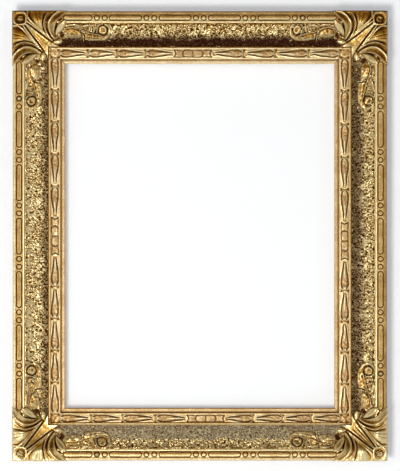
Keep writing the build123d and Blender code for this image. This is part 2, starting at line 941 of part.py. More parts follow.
button_face = back_plane - button_gap
button_names = ("top_left", "top_right", "right_upper", "right_lower")
button_names += ("bottom_right", "bottom_left", "left_lower", "left_upper")
button_head_height = button_face - button_thickness - button_gap

for name, (side, along, out) in zip(button_names, button_places):
    with BuildPart() as turn_button:
        with BuildSketch(face_plane(side, button_face, along, out)):
            with BuildLine():
                nose = button_nose - button_half_width
                Line((-button_tail, -button_half_width), (nose, -button_half_width))
                ThreePointArc((nose, -button_half_width), (button_nose, 0), (nose, button_half_width))
                Line((nose, button_half_width), (-button_tail, button_half_width))
                ThreePointArc(
                    (-button_tail, button_half_width),
                    (-button_tail - button_half_width, 0),
                    (-button_tail, -button_half_width),
                )
            make_face()
            Circle(screw_radius + button_bore_clearance, mode=Mode.SUBTRACT)
        extrude(amount=-button_thickness)
    turn_button.part.label = f"turn_button_{name}"
    export_step(turn_button.part, f"parts/turn_button_{name}.step")

button_screw_length = button_screw_depth + 2 * button_gap + button_thickness - screw_clearance
button_screw_planes = [back_face(*place, button_head_height) for place in button_places]

with BuildPart() as turn_button_screws:
    add(at_planes(button_screw_planes, round_screw(button_screw_length)))
turn_button_screws.part.label = "turn_button_screws"
export_step(turn_button_screws.part, "parts/turn_button_screws.step")

# Hangers

knuckle_bore = ring_wire_radius + ring_running_clearance
knuckle_height = back_plane - strap_thickness - knuckle_bore
strap_screw_planes = [
    back_face(*place, back_plane - strap_thickness) for place in strap_screw_places
]

for side, end in (("left", 1), ("right", -1)):
    along = end * hanger_height
    with BuildPart() as hanger_strap:
        with BuildSketch(section_plane(side, along)):
            with Locations((hanger_out, knuckle_height)):
                Circle(knuckle_bore + strap_thickness)
            with Locations((hanger_out + strap_length / 2, back_plane - strap_thickness / 2)):
                Rectangle(strap_length, strap_thickness)
            with Locations((hanger_out, knuckle_height)):
                Circle(knuckle_bore, mode=Mode.SUBTRACT)
        extrude(amount=strap_width / 2, both=True)
        with Locations(*[plane for plane, place in zip(strap_screw_planes, strap_screw_places)
                         if place[0] == side]):
            Hole(screw_radius + screw_clearance, depth=strap_thickness)
    hanger_strap.part.label = f"hanger_strap_{side}"
    export_step(hanger_strap.part, f"parts/hanger_strap_{side}.step")

    with BuildPart() as hanger_ring:
        with BuildLine(face_plane(side, knuckle_height, along, hanger_out)) as wire:
            bar_end = ring_half_width - ring_bend
            bend_middle = ring_bend * (1 - cos(radians(45)))
            arc_start = ring_bend + ring_leg
            Line((ring_split / 2, 0), (bar_end, 0))
            ThreePointArc(
                (bar_end, 0), (ring_half_width - bend_middle, -bend_middle), (ring_half_width, -ring_bend)
            )
            Line((ring_half_width, -ring_bend), (ring_half_width, -arc_start))
            ThreePointArc(
                (ring_half_width, -arc_start),
                (0, -arc_start - ring_half_width),
                (-ring_half_width, -arc_start),
            )
            Line((-ring_half_width, -arc_start), (-ring_half_width, -ring_bend))
            ThreePointArc(
                (-ring_half_width, -ring_bend), (bend_middle - ring_half_width, -bend_middle), (-bar_end, 0)
            )
            Line((-bar_end, 0), (-ring_split / 2, 0))
        with BuildSketch(Plane(origin=wire.line @ 0, z_dir=wire.line % 0)):
            Circle(ring_wire_radius)
        sweep()
    hanger_ring.part.label = f"hanger_ring_{side}"
    export_step(hanger_ring.part, f"parts/hanger_ring_{side}.step")

strap_screw_length = button_screw_depth + strap_thickness - screw_clearance
with BuildPart() as hanger_screws:
    add(at_planes(strap_screw_planes, round_screw(strap_screw_length)))
hanger_screws.part.label = "hanger_screws"
export_step(hanger_screws.part, "parts/hanger_screws.step")

# Bumpers on the back of the four corners

for end_x, x_name in ((-1, "left"), (1, "right")):
    for end_z, z_name in ((-1, "lower"), (1, "upper")):
        place = (
            end_x * (sight_width / 2 + back_outer - bumper_corner_inset),
            end_z * (sight_height / 2 + back_outer - bumper_corner_inset),
        )
        with BuildPart() as bumper:
            with BuildSketch(Plane(origin=(0, 0, 0), x_dir=(1, 0, 0), z_dir=(0, -1, 0))):
                with Locations(place):
                    Circle(bumper_radius)
            extrude(amount=bumper_thickness)
        bumper.part.label = f"bumper_{z_name}_{x_name}"
        export_step(bumper.part, f"parts/bumper_{z_name}_{x_name}.step")
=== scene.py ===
"""Gilded picture frame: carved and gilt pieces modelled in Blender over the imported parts.

Lengths are in millimetres until a mesh is laid in the scene, which is in metres. Each side of the
frame has its own terms: "along" the side, "out" from the sight edge, and "height" from the wall.
"""

import logging
import math
from collections.abc import Callable, Sequence
from dataclasses import dataclass, field, replace
from enum import Enum
from typing import Any

import bpy
import numpy as np
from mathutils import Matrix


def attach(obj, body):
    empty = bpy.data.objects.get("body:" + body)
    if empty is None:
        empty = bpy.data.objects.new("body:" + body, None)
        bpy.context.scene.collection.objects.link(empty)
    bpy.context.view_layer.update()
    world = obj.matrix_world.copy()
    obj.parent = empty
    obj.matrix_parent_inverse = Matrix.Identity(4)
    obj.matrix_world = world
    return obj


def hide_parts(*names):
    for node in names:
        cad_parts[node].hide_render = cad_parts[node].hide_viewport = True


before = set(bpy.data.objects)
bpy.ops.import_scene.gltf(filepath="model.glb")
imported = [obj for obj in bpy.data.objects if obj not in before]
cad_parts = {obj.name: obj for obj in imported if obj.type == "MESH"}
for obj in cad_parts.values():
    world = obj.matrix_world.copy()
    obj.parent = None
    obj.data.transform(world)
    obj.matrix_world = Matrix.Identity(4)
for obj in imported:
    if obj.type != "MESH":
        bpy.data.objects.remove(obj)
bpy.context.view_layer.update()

logging.basicConfig(level=logging.INFO, format="%(message)s")
log = logging.getLogger("picture_frame")

MM = 0.001
ROOT_BODY = "frame"
NOISE_TABLE = 64
CURVE_STEP = 0.4
FEWEST_CURVE_STEPS = 8
THINNEST_FORM = 0.05
MERGE_DISTANCE = 1e-6
SMOOTH_ANGLE = math.radians(50)
# Channels of the marks that each vertex carries: marks of age, with painted light and shade in them
HOLLOW_AND_PAINTED_LIGHT, GRIME_AND_SHADE, DUST_AND_SHADE, BARE = range(4)
Array = np.ndarray
Material = bpy.types.Material


class Side(Enum):
    """Sides of the frame, each given by its outward direction in x and z."""

    TOP = (0, 1)
    RIGHT = (1, 0)
    BOTTOM = (0, -1)
    LEFT = (-1, 0)

    @property
    def label(self) -> str:
        """Name of the side as the parts' names give it."""
        return self.name.lower()

    @property
    def number(self) -> int:
        """Place of the side in the order that the seeds of its patterns follow."""
        return list(Side).index(self)

    @property
    def along(self) -> tuple[int, int]:
        """Direction in x and z that runs along the side."""
        x, z = self.value
        return z, -x


class Section(Enum):
    """Cross-sections of a carved form."""

    ROUND = "round"
    DISH = "dish"
    PLATE = "plate"
    GROOVE = "groove"


def per_side(top: Any, bottom: Any, left: Any, right: Any) -> Any:
    """Field of a dataclass that holds a value for each side."""
    values = {Side.TOP: top, Side.BOTTOM: bottom, Side.LEFT: left, Side.RIGHT: right}
    return field(default_factory=lambda: dict(values))


@dataclass(frozen=True)
class Layout:
    """Sizes that the mouldings and the ornaments on them share."""

    sight_width: float = 547.0
    sight_height: float = 699.4
    back_front: float = 24.0
    sight_edge_height: float = 30.0
    band_height: float = 34.0
    sight_moulding_width: float = 34.5
    cove_low_out: float = 42.0
    cove_low_height: float = 32.5
    cove_end_out: float = 80.0
    cove_end_height: float = 49.0
    fillet_start: float = 81.0
    fillet_height: float = 52.0
    channel_start: float = 85.3
    channel_end: float = 98.3
    channel_floor: float = 49.5
    rail_width: float = 104.5

    def half_length(self, side: Side) -> float:
        """Half the length of a side at the sight edge."""
        return (self.sight_width if side.value[0] == 0 else self.sight_height) / 2

    def reach(self, side: Side) -> float:
        """Distance from the frame's centre to a side's sight edge."""
        return (self.sight_height if side.value[0] == 0 else self.sight_width) / 2

    def cove_height(self, out: Array) -> Array:
        """Height of the cove's circular arc.

        Args:
            out: Distance from the sight edge.

        Returns:
            Height in front of the wall.
        """
        run = self.cove_end_out - self.cove_low_out
        climb = self.cove_end_height - self.cove_low_height
        radius = (run**2 + climb**2) / (2 * climb)
        inside = np.clip(radius**2 - (out - self.cove_low_out) ** 2, 0, None)
        return self.cove_low_height + radius - np.sqrt(inside)

    def ground(self, out: Array) -> Array:
        """Height of the plain mouldings, over which the ornaments lie.

        Args:
            out: Distance from the sight edge.

        Returns:
            Height in front of the wall.
        """
        height = np.where(out < self.cove_end_out, self.cove_height(out), self.fillet_height)
        return np.where(out < self.sight_moulding_width, self.band_height, height)

    def place(self, side: Side, along: Array, out: Array, height: Array) -> Array:
        """Turns a side's own terms into places in the scene.

        Args:
            side: Side of the frame.
            along: Distance along the side from its middle.
            out: Distance from the sight edge.
            height: Distance in front of the wall.

        Returns:
            Places in metres, with x, y and z on the last axis.
        """
        out_x, out_z = side.value
        along_x, along_z = side.along
        away = self.reach(side) + out
        x = out_x * away + along_x * along
        z = out_z * away + along_z * along
        return np.stack(np.broadcast_arrays(x, -height, z), axis=-1) * MM


LAYOUT = Layout()


# Relief


def smoothstep(value: Array) -> Array:
    """Eases a value from 0 to 1."""
    value = np.clip(value, 0.0, 1.0)
    return value * value * (3 - 2 * value)


def lattice_noise(x: Array, y: Array, size: float, seed: int) -> Array:
    """Smooth noise between -1 and 1.

    Args:
        x: First coordinate.
        y: Second coordinate.
        size: Distance between the lattice points, about the size of a feature.
        seed: Number that picks the pattern.

    Returns:
        Noise at each place.
    """
    table = np.random.default_rng(seed).uniform(-1, 1, (NOISE_TABLE, NOISE_TABLE))
    x, y = x / size, y / size
    column, row = np.floor(x).astype(int), np.floor(y).astype(int)
    across, up = smoothstep(x - column), smoothstep(y - row)
    left, right = column % NOISE_TABLE, (column + 1) % NOISE_TABLE
    low, high = (
        table[line, left] * (1 - across) + table[line, right] * across
        for line in (row % NOISE_TABLE, (row + 1) % NOISE_TABLE)
    )
    return low * (1 - up) + high * up


def cells(x: Array, y: Array, size: float, seed: int) -> tuple[Array, Array]:
    """Distances to the nearest two of many scattered points.

    Args:
        x: First coordinate.
        y: Second coordinate.
        size: Mean distance between the points.
        seed: Number that picks the pattern.

    Returns:
        Distance to the nearest point and to the next one.
    """
    jitter = np.random.default_rng(seed).uniform(0, 1, (NOISE_TABLE, NOISE_TABLE, 2))
    column, row = np.floor(x / size).astype(int), np.floor(y / size).astype(int)
    distances = []
    for step_x in (-1, 0, 1):
        for step_y in (-1, 0, 1):
            near = jitter[(row + step_y) % NOISE_TABLE, (column + step_x) % NOISE_TABLE]
            point_x = (column + step_x + near[..., 0]) * size
            point_y = (row + step_y + near[..., 1]) * size
            distances.append(np.hypot(x - point_x, y - point_y))
    nearest = np.sort(np.stack(distances), axis=0)
    return nearest[0], nearest[1]


def blurred(values: Array, reach: int) -> Array:
    """Mean of a sheet's values over a square window.

    Args:
        values: Values on a regular sheet.
        reach: Half the window's width, in steps of the sheet.

    Returns:
        The mean round each place.
    """
    for axis in (0, 1):
        pad = [(0, 0), (0, 0)]
        pad[axis] = (reach + 1, reach)
        total = np.cumsum(np.pad(values, pad, mode="edge"), axis=axis)
        size = values.shape[axis]
        last = np.take(total, range(2 * reach + 1, 2 * reach + 1 + size), axis=axis)
        first = np.take(total, range(size), axis=axis)
        values = (last - first) / (2 * reach + 1)
    return values


def hollowness(relief: Array, reach: int, depth: float) -> Array:
    """How far each place lies below what is round it.

    Args:
        relief: Height of the carving on a regular sheet.
        reach: Half the window's width, in steps of the sheet.
        depth: Difference in height that counts as fully hollow.

    Returns:
        0.5 where the sheet is level, up to 1 in a hollow and down to 0 on a crest.
    """
    around = blurred(blurred(relief, reach), reach)
    return np.clip(0.5 + (around - relief) / (2 * depth), 0, 1)


@dataclass(frozen=True)
class Stroke:
    """Carved form that follows a smooth curve: a rib, leaf, rim, pod or groove.

    Each knot holds the place on both axes, the half width and the rise above the ground.
    """

    knots: tuple[tuple[float, float, float, float], ...]
    section: Section = Section.ROUND
    # Grime along the form, with painted shade in it where the form is a groove or undercut
    grime_and_shade: float = 0.0

    def curve(self) -> Array:
        """Closely spaced points on the smooth curve through the knots.

        Returns:
            Place, half width and rise of each point, one point to a row.
        """
        knots = np.array(self.knots, dtype=float)
        padded = np.vstack((2 * knots[0] - knots[1], knots, 2 * knots[-1] - knots[-2]))
        length = np.hypot(*np.diff(knots[:, :2], axis=0).T).sum()
        share = np.linspace(0, len(knots) - 1, max(int(length / CURVE_STEP), FEWEST_CURVE_STEPS))
        start = np.minimum(share.astype(int), len(knots) - 2)
        step = (share - start)[:, None]
        before, here, there, after = (padded[start + index] for index in range(4))
        bend = 2 * before - 5 * here + 4 * there - after
        twist = 3 * here - before - 3 * there + after
        return 0.5 * (2 * here + (there - before) * step + bend * step**2 + twist * step**3)

    def swapped(self) -> "Stroke":
        """The same form with its two axes exchanged."""
        return Stroke(tuple((y, x, *rest) for x, y, *rest in self.knots), self.section, self.grime_and_shade)

    def carve(self, x: Array, y: Array, ground: Array, height: Array, grime_and_shade: Array) -> None:
        """Adds this form to a sheet.

        Args:
            x: First coordinate of the sheet's places.
            y: Second coordinate of the sheet's places.
            ground: Height that forms rise from.
            height: Height so far, which is changed.
            grime_and_shade: Grime and painted shade so far, which is changed.
        """
        points = self.curve()
        reach = points[:, 2].max()
        low, high = points[:, :2].min(axis=0) - reach, points[:, :2].max(axis=0) + reach
        near = (x > low[0]) & (x < high[0]) & (y > low[1]) & (y < high[1])
        if not near.any():
            return
        gaps = np.hypot(x[near][:, None] - points[:, 0], y[near][:, None] - points[:, 1])
        share = gaps / np.maximum(points[:, 2], THINNEST_FORM)
        best = share.argmin(axis=1)
        share = share[np.arange(len(best)), best]
        rise = points[best, 3]
        on_form = share < 1
        shape = SECTION_SHAPES[self.section](np.minimum(share, 1))
        old = height[near]
        if self.section is Section.GROOVE:
            height[near] = old - rise * shape
        else:
            height[near] = np.where(on_form, np.maximum(old, ground[near] + rise * shape), old)
        grime_and_shade[near] = np.maximum(grime_and_shade[near], self.grime_and_shade * smoothstep(1.6 * (1 - share)))


RIM_SHARE = 0.78
FLOOR_SHARE = 0.42
PLATE_EDGE_SHARE = 0.18
# Height of each cross-section as a share of its rise, from its middle, at 0, to its edge, at 1
SECTION_SHAPES: dict[Section, Callable[[Array], Array]] = {
    Section.ROUND: lambda share: np.sqrt(1 - share**2),
    Section.DISH: lambda share: np.where(
        share < RIM_SHARE,
        FLOOR_SHARE + (1 - FLOOR_SHARE) * (share / RIM_SHARE) ** 2,
        1 - ((share - RIM_SHARE) / (1 - RIM_SHARE)) ** 2,
    ),
    Section.PLATE: lambda share: smoothstep((1 - share) / PLATE_EDGE_SHARE),
    Section.GROOVE: lambda share: (1 - share**2) ** 2,
}


def inside_outline(x: Array, y: Array, outline: Sequence[tuple[float, float]]) -> Array:
    """Whether places lie inside a closed outline.

    Args:
        x: First coordinate.
        y: Second coordinate.
        outline: Corners of the outline in order.

    Returns:
        True for the places inside.
    """
    within = np.zeros(x.shape, dtype=bool)
    for (x0, y0), (x1, y1) in zip(outline, [*outline[1:], outline[0]]):
        crosses = (y0 > y) != (y1 > y)
        rise = y1 - y0 if y1 != y0 else 1.0
        within ^= crosses & (x < (x1 - x0) * (y - y0) / rise + x0)
    return within


# Meshes


class Closing(Enum):
    """How an open sheet is made a closed mesh."""

    TUBE = "tube"
    SHELL = "shell"


@dataclass
class Sheet:
    """Grid whose vertices are laid on a surface, with the marks of age and painted light and shade on each of
    them.

    The marks are hollowness, grime, dust, and bare wood or wash; painted light and shade lie in the first
    three.
    """

    name: str
    places: Array
    marks: Array
    closing: Closing
    # How far back a shell's skirt runs, and how much further back its apex lies
    skirt: float = 6.0
    apex_drop: float = 12.0

    def build(self) -> bpy.types.Object:
        """Makes the closed mesh.

        Returns:
            The new object.
        """
        rows, columns = self.places.shape[:2]
        bpy.ops.object.select_all(action="DESELECT")
        bpy.ops.mesh.primitive_grid_add(
            x_subdivisions=columns - 1, y_subdivisions=rows - 1, size=2, calc_uvs=False
        )
        piece = bpy.context.object
        piece.name = piece.data.name = self.name
        start = np.empty(len(piece.data.vertices) * 3)
        piece.data.vertices.foreach_get("co", start)
        column = np.rint((start[0::3] + 1) / 2 * (columns - 1)).astype(int)
        row = np.rint((start[1::3] + 1) / 2 * (rows - 1)).astype(int)
        piece.data.vertices.foreach_set("co", self.places[row, column].ravel())
        marks = piece.data.attributes.new("patina_and_painted_light", "FLOAT_COLOR", "POINT")
        marks.data.foreach_set("color", self.marks[row, column].ravel())
        piece.data.update()
        bpy.ops.object.mode_set(mode="EDIT")
        bpy.ops.mesh.select_mode(type="EDGE")
        if self.closing is Closing.TUBE:
            bpy.ops.mesh.select_all(action="SELECT")
            bpy.ops.mesh.remove_doubles(threshold=MERGE_DISTANCE)
            bpy.ops.mesh.fill_holes(sides=0)
        else:
            self.close_behind()
        bpy.ops.mesh.select_all(action="SELECT")
        bpy.ops.mesh.normals_make_consistent(inside=False)
        bpy.ops.mesh.select_all(action="DESELECT")
        bpy.ops.object.mode_set(mode="OBJECT")
        bpy.ops.object.shade_smooth_by_angle(angle=SMOOTH_ANGLE)
        return piece

    def close_behind(self) -> None:
        """Carries the sheet's border back as a skirt, and closes it to a point in the moulding."""
        bpy.ops.mesh.select_all(action="DESELECT")
        bpy.ops.mesh.select_non_manifold(
            extend=False, use_wire=False, use_multi_face=False, use_non_contiguous=False
        )
        for depth in (self.skirt, self.apex_drop):
            bpy.ops.mesh.extrude_edges_move(TRANSFORM_OT_translate={"value": (0, depth * MM, 0)})
        bpy.ops.mesh.merge(type="CENTER")


def dress(piece: bpy.types.Object, node: str, material: Material) -> None:
    """Gives a new piece its material, body and part, and reports it.

    Args:
        piece: The new piece.
        node: Part that the piece stands for.
        material: Finish of the piece.
    """
    piece.data.materials.clear()
    piece.data.materials.append(material)
    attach(piece, ROOT_BODY)
    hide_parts(node)
    log.info("%s: %d faces, %s", piece.name, len(piece.data.polygons), material.name)


# Finishes


def linear(hex_colour: str) -> tuple[float, float, float, float]:
    """Turns an sRGB colour into a linear one.

    Args:
        hex_colour: Colour such as "#C89B45".

    Returns:
        Linear red, green, blue and alpha.
    """
    channels = [int(hex_colour[start : start + 2], 16) / 255 for start in (1, 3, 5)]
    red, green, blue = (
        value / 12.92 if value <= 0.04045 else ((value + 0.055) / 1.055) ** 2.4 for value in channels
    )
    return red, green, blue, 1.0


def add_node(
    tree: bpy.types.NodeTree, kind: str, inputs: dict[int | str, Any] | None = None, **settings: Any
) -> bpy.types.Node:
    """Adds a node with its settings, values and links.

    Args:
        tree: Node tree of a material or world.
        kind: Type of the node.
        inputs: Value or linked output for each input, by name or number.
        settings: The node's own settings.

    Returns:
        The new node.
    """
    node = tree.nodes.new(kind)
    for name, value in settings.items():
        setattr(node, name, value)
    for key, value in (inputs or {}).items():
        if isinstance(value, bpy.types.NodeSocket):
            tree.links.new(value, node.inputs[key])
        else:
            node.inputs[key].default_value = value
    return node


def fill_ramp(node: bpy.types.Node, stops: Sequence[tuple[float, str]]) -> None:
    """Sets a colour ramp's stops.

    Args:
        node: The colour ramp.
        stops: Place and sRGB colour of each stop, in order.
    """
    elements = node.color_ramp.elements
    while len(elements) < len(stops):
        elements.new(0.5)
    for element, (place, colour) in zip(elements, stops):
        element.position = place
        element.color = linear(colour)


def blank_material(name: str) -> tuple[Material, bpy.types.NodeTree, bpy.types.Node, bpy.types.Node]:
    """Starts a material.

    Args:
        name: Name of the finish.

    Returns:
        The material, its node tree, its surface shader and the object's coordinates.
    """
    material = bpy.data.materials.new(name)
    material.use_nodes = True
    tree = material.node_tree
    shader = tree.nodes["Principled BSDF"]
    return material, tree, shader, tree.nodes.new("ShaderNodeTexCoord")


@dataclass(frozen=True)
class AgedGilding:
    """Gold leaf over bole on gesso, burnished on the crests, rubbed and grimed in the hollows.

    The leaf is metal, so crests glint; the bole, and the grime with its painted shade, are dull, so hollows
    go dark and warm.
    """

    name: str
    crest: str = "#F5DFA6"
    leaf: str = "#CDA153"
    rubbed: str = "#9C691B"
    bole: str = "#70420C"
    hollow: str = "#381B05"
    grime_and_shade: str = "#3A1806"
    dust: str = "#857867"
    wash: str = "#92713F"
    # Worn patches, specks, and the gesso's grain, which is finer in truth and drawn coarse enough to show
    patch_mm: float = 26.0
    speckle_mm: float = 3.2
    grain_mm: float = 0.9
    patch_weight: float = 0.30
    speckle_weight: float = 0.42
    # Painted shade on what faces up
    upward_painted_shade: float = 0.28
    # Wear at each colour from crest to hollow, and where metallic and roughness start and stop changing
    stops: tuple[float, ...] = (0.18, 0.46, 0.62, 0.78, 0.96)
    metallic_range: tuple[float, float] = (0.45, 0.85)
    roughness_range: tuple[float, float] = (0.2, 0.8)
    crest_metallic: float = 0.75
    hollow_metallic: float = 0.12
    crest_roughness: float = 0.32
    hollow_roughness: float = 0.66
    # Metallic and roughness of each layer over the gold
    grime_surface: tuple[float, float] = (0.10, 0.55)
    dust_surface: tuple[float, float] = (0.05, 0.85)
    wash_surface: tuple[float, float] = (0.0, 0.75)
    specular_level: float = 0.05
    ragged: float = 0.9
    bump_strength: float = 0.35
    bump_mm: float = 0.5
    speckle_bump: float = 1.2

    def material(self) -> Material:
        """Makes the material.

        Returns:
            The new material.
        """
        material, tree, shader, coordinates = blank_material(self.name)
        place = coordinates.outputs["Object"]
        marks = add_node(tree, "ShaderNodeAttribute", attribute_name="patina_and_painted_light")
        parts = add_node(tree, "ShaderNodeSeparateColor", {0: marks.outputs["Color"]})
        # Noise features are about as wide as one over the scale, so each scale is from a size in metres
        patches = self.noise(tree, place, self.patch_mm, 3.0)
        speckle = self.noise(tree, place, self.speckle_mm, 4.0)
        grain = self.noise(tree, place, self.grain_mm, 2.0)
        wear_and_painted_light = self.sum(tree, parts.outputs["Red"], patches, self.patch_weight)
        wear_and_painted_light = self.sum(tree, wear_and_painted_light, speckle, self.speckle_weight)
        # Painted shade: what faces up is drawn browner than what faces down, as if lit from below
        facing = add_node(tree, "ShaderNodeSeparateXYZ", {0: coordinates.outputs["Normal"]})
        wear_and_painted_light = add_node(
            tree, "ShaderNodeMath", {0: facing.outputs["Z"], 1: self.upward_painted_shade, 2: wear_and_painted_light},
            operation="MULTIPLY_ADD",
        ).outputs[0]
        ramp = add_node(tree, "ShaderNodeValToRGB", {0: wear_and_painted_light})
        fill_ramp(ramp, list(zip(self.stops, (self.crest, self.leaf, self.rubbed, self.bole, self.hollow))))
        sheen = add_node(
            tree, "ShaderNodeMapRange",
            {"Value": wear_and_painted_light, "From Min": self.metallic_range[0], "From Max": self.metallic_range[1],
             "To Min": self.crest_metallic, "To Max": self.hollow_metallic},
        )
        dull = add_node(
            tree, "ShaderNodeMapRange",
            {"Value": wear_and_painted_light, "From Min": self.roughness_range[0], "From Max": self.roughness_range[1],
             "To Min": self.crest_roughness, "To Max": self.hollow_roughness},
        )
        colour, metal, rough = ramp.outputs["Color"], sheen.outputs["Result"], dull.outputs["Result"]
        # Amount, colour, metallic and roughness of each layer over the gold, ragged with the speckle
        layers = (
            (parts.outputs["Green"], self.grime_and_shade, *self.grime_surface),
            (parts.outputs["Blue"], self.dust, *self.dust_surface),
            (marks.outputs["Alpha"], self.wash, *self.wash_surface),
        )
        for amount, layer_colour, layer_metal, layer_rough in layers:
            torn = self.sum(tree, amount, speckle, self.ragged)
            cover = add_node(
                tree, "ShaderNodeMath", {0: amount, 1: torn}, operation="MULTIPLY", use_clamp=True
            ).outputs[0]
            colour = add_node(
                tree, "ShaderNodeMix", {0: cover, 6: colour, 7: linear(layer_colour)}, data_type="RGBA"
            ).outputs[2]
            metal = add_node(tree, "ShaderNodeMix", {0: cover, 2: metal, 3: layer_metal}).outputs[0]
            rough = add_node(tree, "ShaderNodeMix", {0: cover, 2: rough, 3: layer_rough}).outputs[0]
        shader.inputs["Specular IOR Level"].default_value = self.specular_level
        tree.links.new(colour, shader.inputs["Base Color"])
        tree.links.new(metal, shader.inputs["Metallic"])
        tree.links.new(rough, shader.inputs["Roughness"])
        relief = self.sum(tree, grain, speckle, self.speckle_bump)
        bump = add_node(
            tree, "ShaderNodeBump",
            {"Strength": self.bump_strength, "Distance": self.bump_mm * MM, "Height": relief},
        )
        tree.links.new(bump.outputs["Normal"], shader.inputs["Normal"])
        return material

    def noise(
        self, tree: bpy.types.NodeTree, place: bpy.types.NodeSocket, size_mm: float, detail: float
    ) -> bpy.types.NodeSocket:
        """Noise whose features are of a given size.

        Args:
            tree: Node tree of the material.
            place: Coordinates that the noise follows.
            size_mm: Width of a feature.
            detail: Number of finer layers in the noise.

        Returns:
            The noise, between 0 and 1.
        """
        return add_node(
            tree, "ShaderNodeTexNoise",
            {"Vector": place, "Scale": 1 / (size_mm * MM), "Detail": detail, "Roughness": 0.6},
        ).outputs[0]

    def sum(
        self,
        tree: bpy.types.NodeTree,
        value: bpy.types.NodeSocket,
        noise: bpy.types.NodeSocket,
        weight: float,
    ) -> bpy.types.NodeSocket:
        """Adds noise to a value, weighted and centred on nought.

        Args:
            tree: Node tree of the material.
            value: Value that the noise is added to.
            noise: Noise between 0 and 1.
            weight: How far the noise moves the value in all.

        Returns:
            The value with the noise in it.
        """
        centred = add_node(
            tree, "ShaderNodeMath", {0: noise, 1: weight, 2: -weight / 2}, operation="MULTIPLY_ADD"
        )
        return add_node(tree, "ShaderNodeMath", {0: value, 1: centred.outputs[0]}).outputs[0]


@dataclass(frozen=True)
class SawnWood:
    """Planed softwood or hardwood gone brown with age: growth rings drawn out along the grain."""

    name: str
    early: str
    late: str
    along: Side
    # Growth rings as far apart as in a sawn board, and the fibres between them, which only roughen it
    ring_mm: float = 3.5
    fibres_per_ring: float = 5.0
    stretch: float = 22.0
    distortion: float = 0.6
    # Values of the ring noise at which the late wood ends and the early wood begins
    late_end: float = 0.36
    early_start: float = 0.56
    roughness: float = 0.72
    bump_strength: float = 0.3
    bump_mm: float = 0.3

    def material(self) -> Material:
        """Makes the material.

        Returns:
            The new material.
        """
        material, tree, shader, coordinates = blank_material(self.name)
        grain_x, grain_z = (1 / self.stretch if step else 1.0 for step in self.along.along)
        mapping = add_node(
            tree, "ShaderNodeMapping", {0: coordinates.outputs["Object"], 3: (grain_x, 1.0, grain_z)}
        )
        rings = add_node(
            tree, "ShaderNodeTexNoise",
            {"Vector": mapping.outputs[0], "Scale": 1 / (self.ring_mm * MM),
             "Detail": 4.0, "Distortion": self.distortion},
        )
        fibre = add_node(
            tree, "ShaderNodeTexNoise",
            {"Vector": mapping.outputs[0], "Scale": self.fibres_per_ring / (self.ring_mm * MM),
             "Detail": 2.0},
        )
        ramp = add_node(tree, "ShaderNodeValToRGB", {0: rings.outputs[0]})
        fill_ramp(ramp, ((self.late_end, self.late), (self.early_start, self.early)))
        tree.links.new(ramp.outputs[0], shader.inputs["Base Color"])
        shader.inputs["Roughness"].default_value = self.roughness
        bump = add_node(
            tree, "ShaderNodeBump",
            {"Strength": self.bump_strength, "Distance": self.bump_mm * MM, "Height": fibre.outputs[0]},
        )
        tree.links.new(bump.outputs[0], shader.inputs["Normal"])
        return material


@dataclass(frozen=True)
class PlainFinish:
    """Finish of one colour with a fine mottle: plated steel or moulded rubber."""

    name: str
    light: str
    dark: str
    # The mottle of plating or of a mould is finer in truth and drawn coarse enough to show
    mottle_mm: float
    metallic: float
    roughness: float
    # Values of the mottle at which the dark colour ends and the light one begins
    dark_end: float = 0.35
    light_start: float = 0.62
    # How much rougher the darkest place is than the stated roughness, and how much smoother the lightest
    rougher: float = 0.12
    smoother: float = 0.08
    bump_strength: float = 0.15
    bump_mm: float = 0.2

    def material(self) -> Material:
        """Makes the material.

        Returns:
            The new material.
        """
        material, tree, shader, coordinates = blank_material(self.name)
        mottle = add_node(
            tree, "ShaderNodeTexNoise",
            {"Vector": coordinates.outputs["Object"], "Scale": 1 / (self.mottle_mm * MM), "Detail": 3.0},
        )
        ramp = add_node(tree, "ShaderNodeValToRGB", {0: mottle.outputs[0]})
        fill_ramp(ramp, ((self.dark_end, self.dark), (self.light_start, self.light)))
        tree.links.new(ramp.outputs[0], shader.inputs["Base Color"])
        shader.inputs["Metallic"].default_value = self.metallic
        rough = add_node(
            tree, "ShaderNodeMapRange",
            {"Value": mottle.outputs[0],
             "To Min": self.roughness + self.rougher, "To Max": self.roughness - self.smoother},
        )
        tree.links.new(rough.outputs[0], shader.inputs["Roughness"])
        bump = add_node(
            tree, "ShaderNodeBump",
            {"Strength": self.bump_strength, "Distance": self.bump_mm * MM, "Height": mottle.outputs[0]},
        )
        tree.links.new(bump.outputs[0], shader.inputs["Normal"])
        return material


# Mouldings


@dataclass(frozen=True)
class Profile:
    """Closed cross-section of a moulding: rows of out and height, in order round it."""

    out: Array
    height: Array

    @classmethod
    def traced(cls, runs: Sequence[tuple[float, float, float]]) -> "Profile":
        """Divides the runs between corners into steps.

        Args:
            runs: Out and height of each corner, and the longest step on the run that ends there.

        Returns:
            The profile, whose last row lies on its first.
        """
        out, height = [runs[0][0]], [runs[0][1]]
        for (out_0, height_0, _), (out_1, height_1, step) in zip(runs, runs[1:]):
            count = max(math.ceil(math.hypot(out_1 - out_0, height_1 - height_0) / step), 1)
            out += list(np.linspace(out_0, out_1, count + 1)[1:])
            height += list(np.linspace(height_0, height_1, count + 1)[1:])
        return cls(np.array(out), np.array(height))

    def normals(self) -> tuple[Array, Array]:
        """Outward direction at each row.

        Returns:
            Its out and height shares.
        """
        across, up = np.gradient(self.out), np.gradient(self.height)
        length = np.maximum(np.hypot(across, up), 1e-9)
        return -up / length, across / length


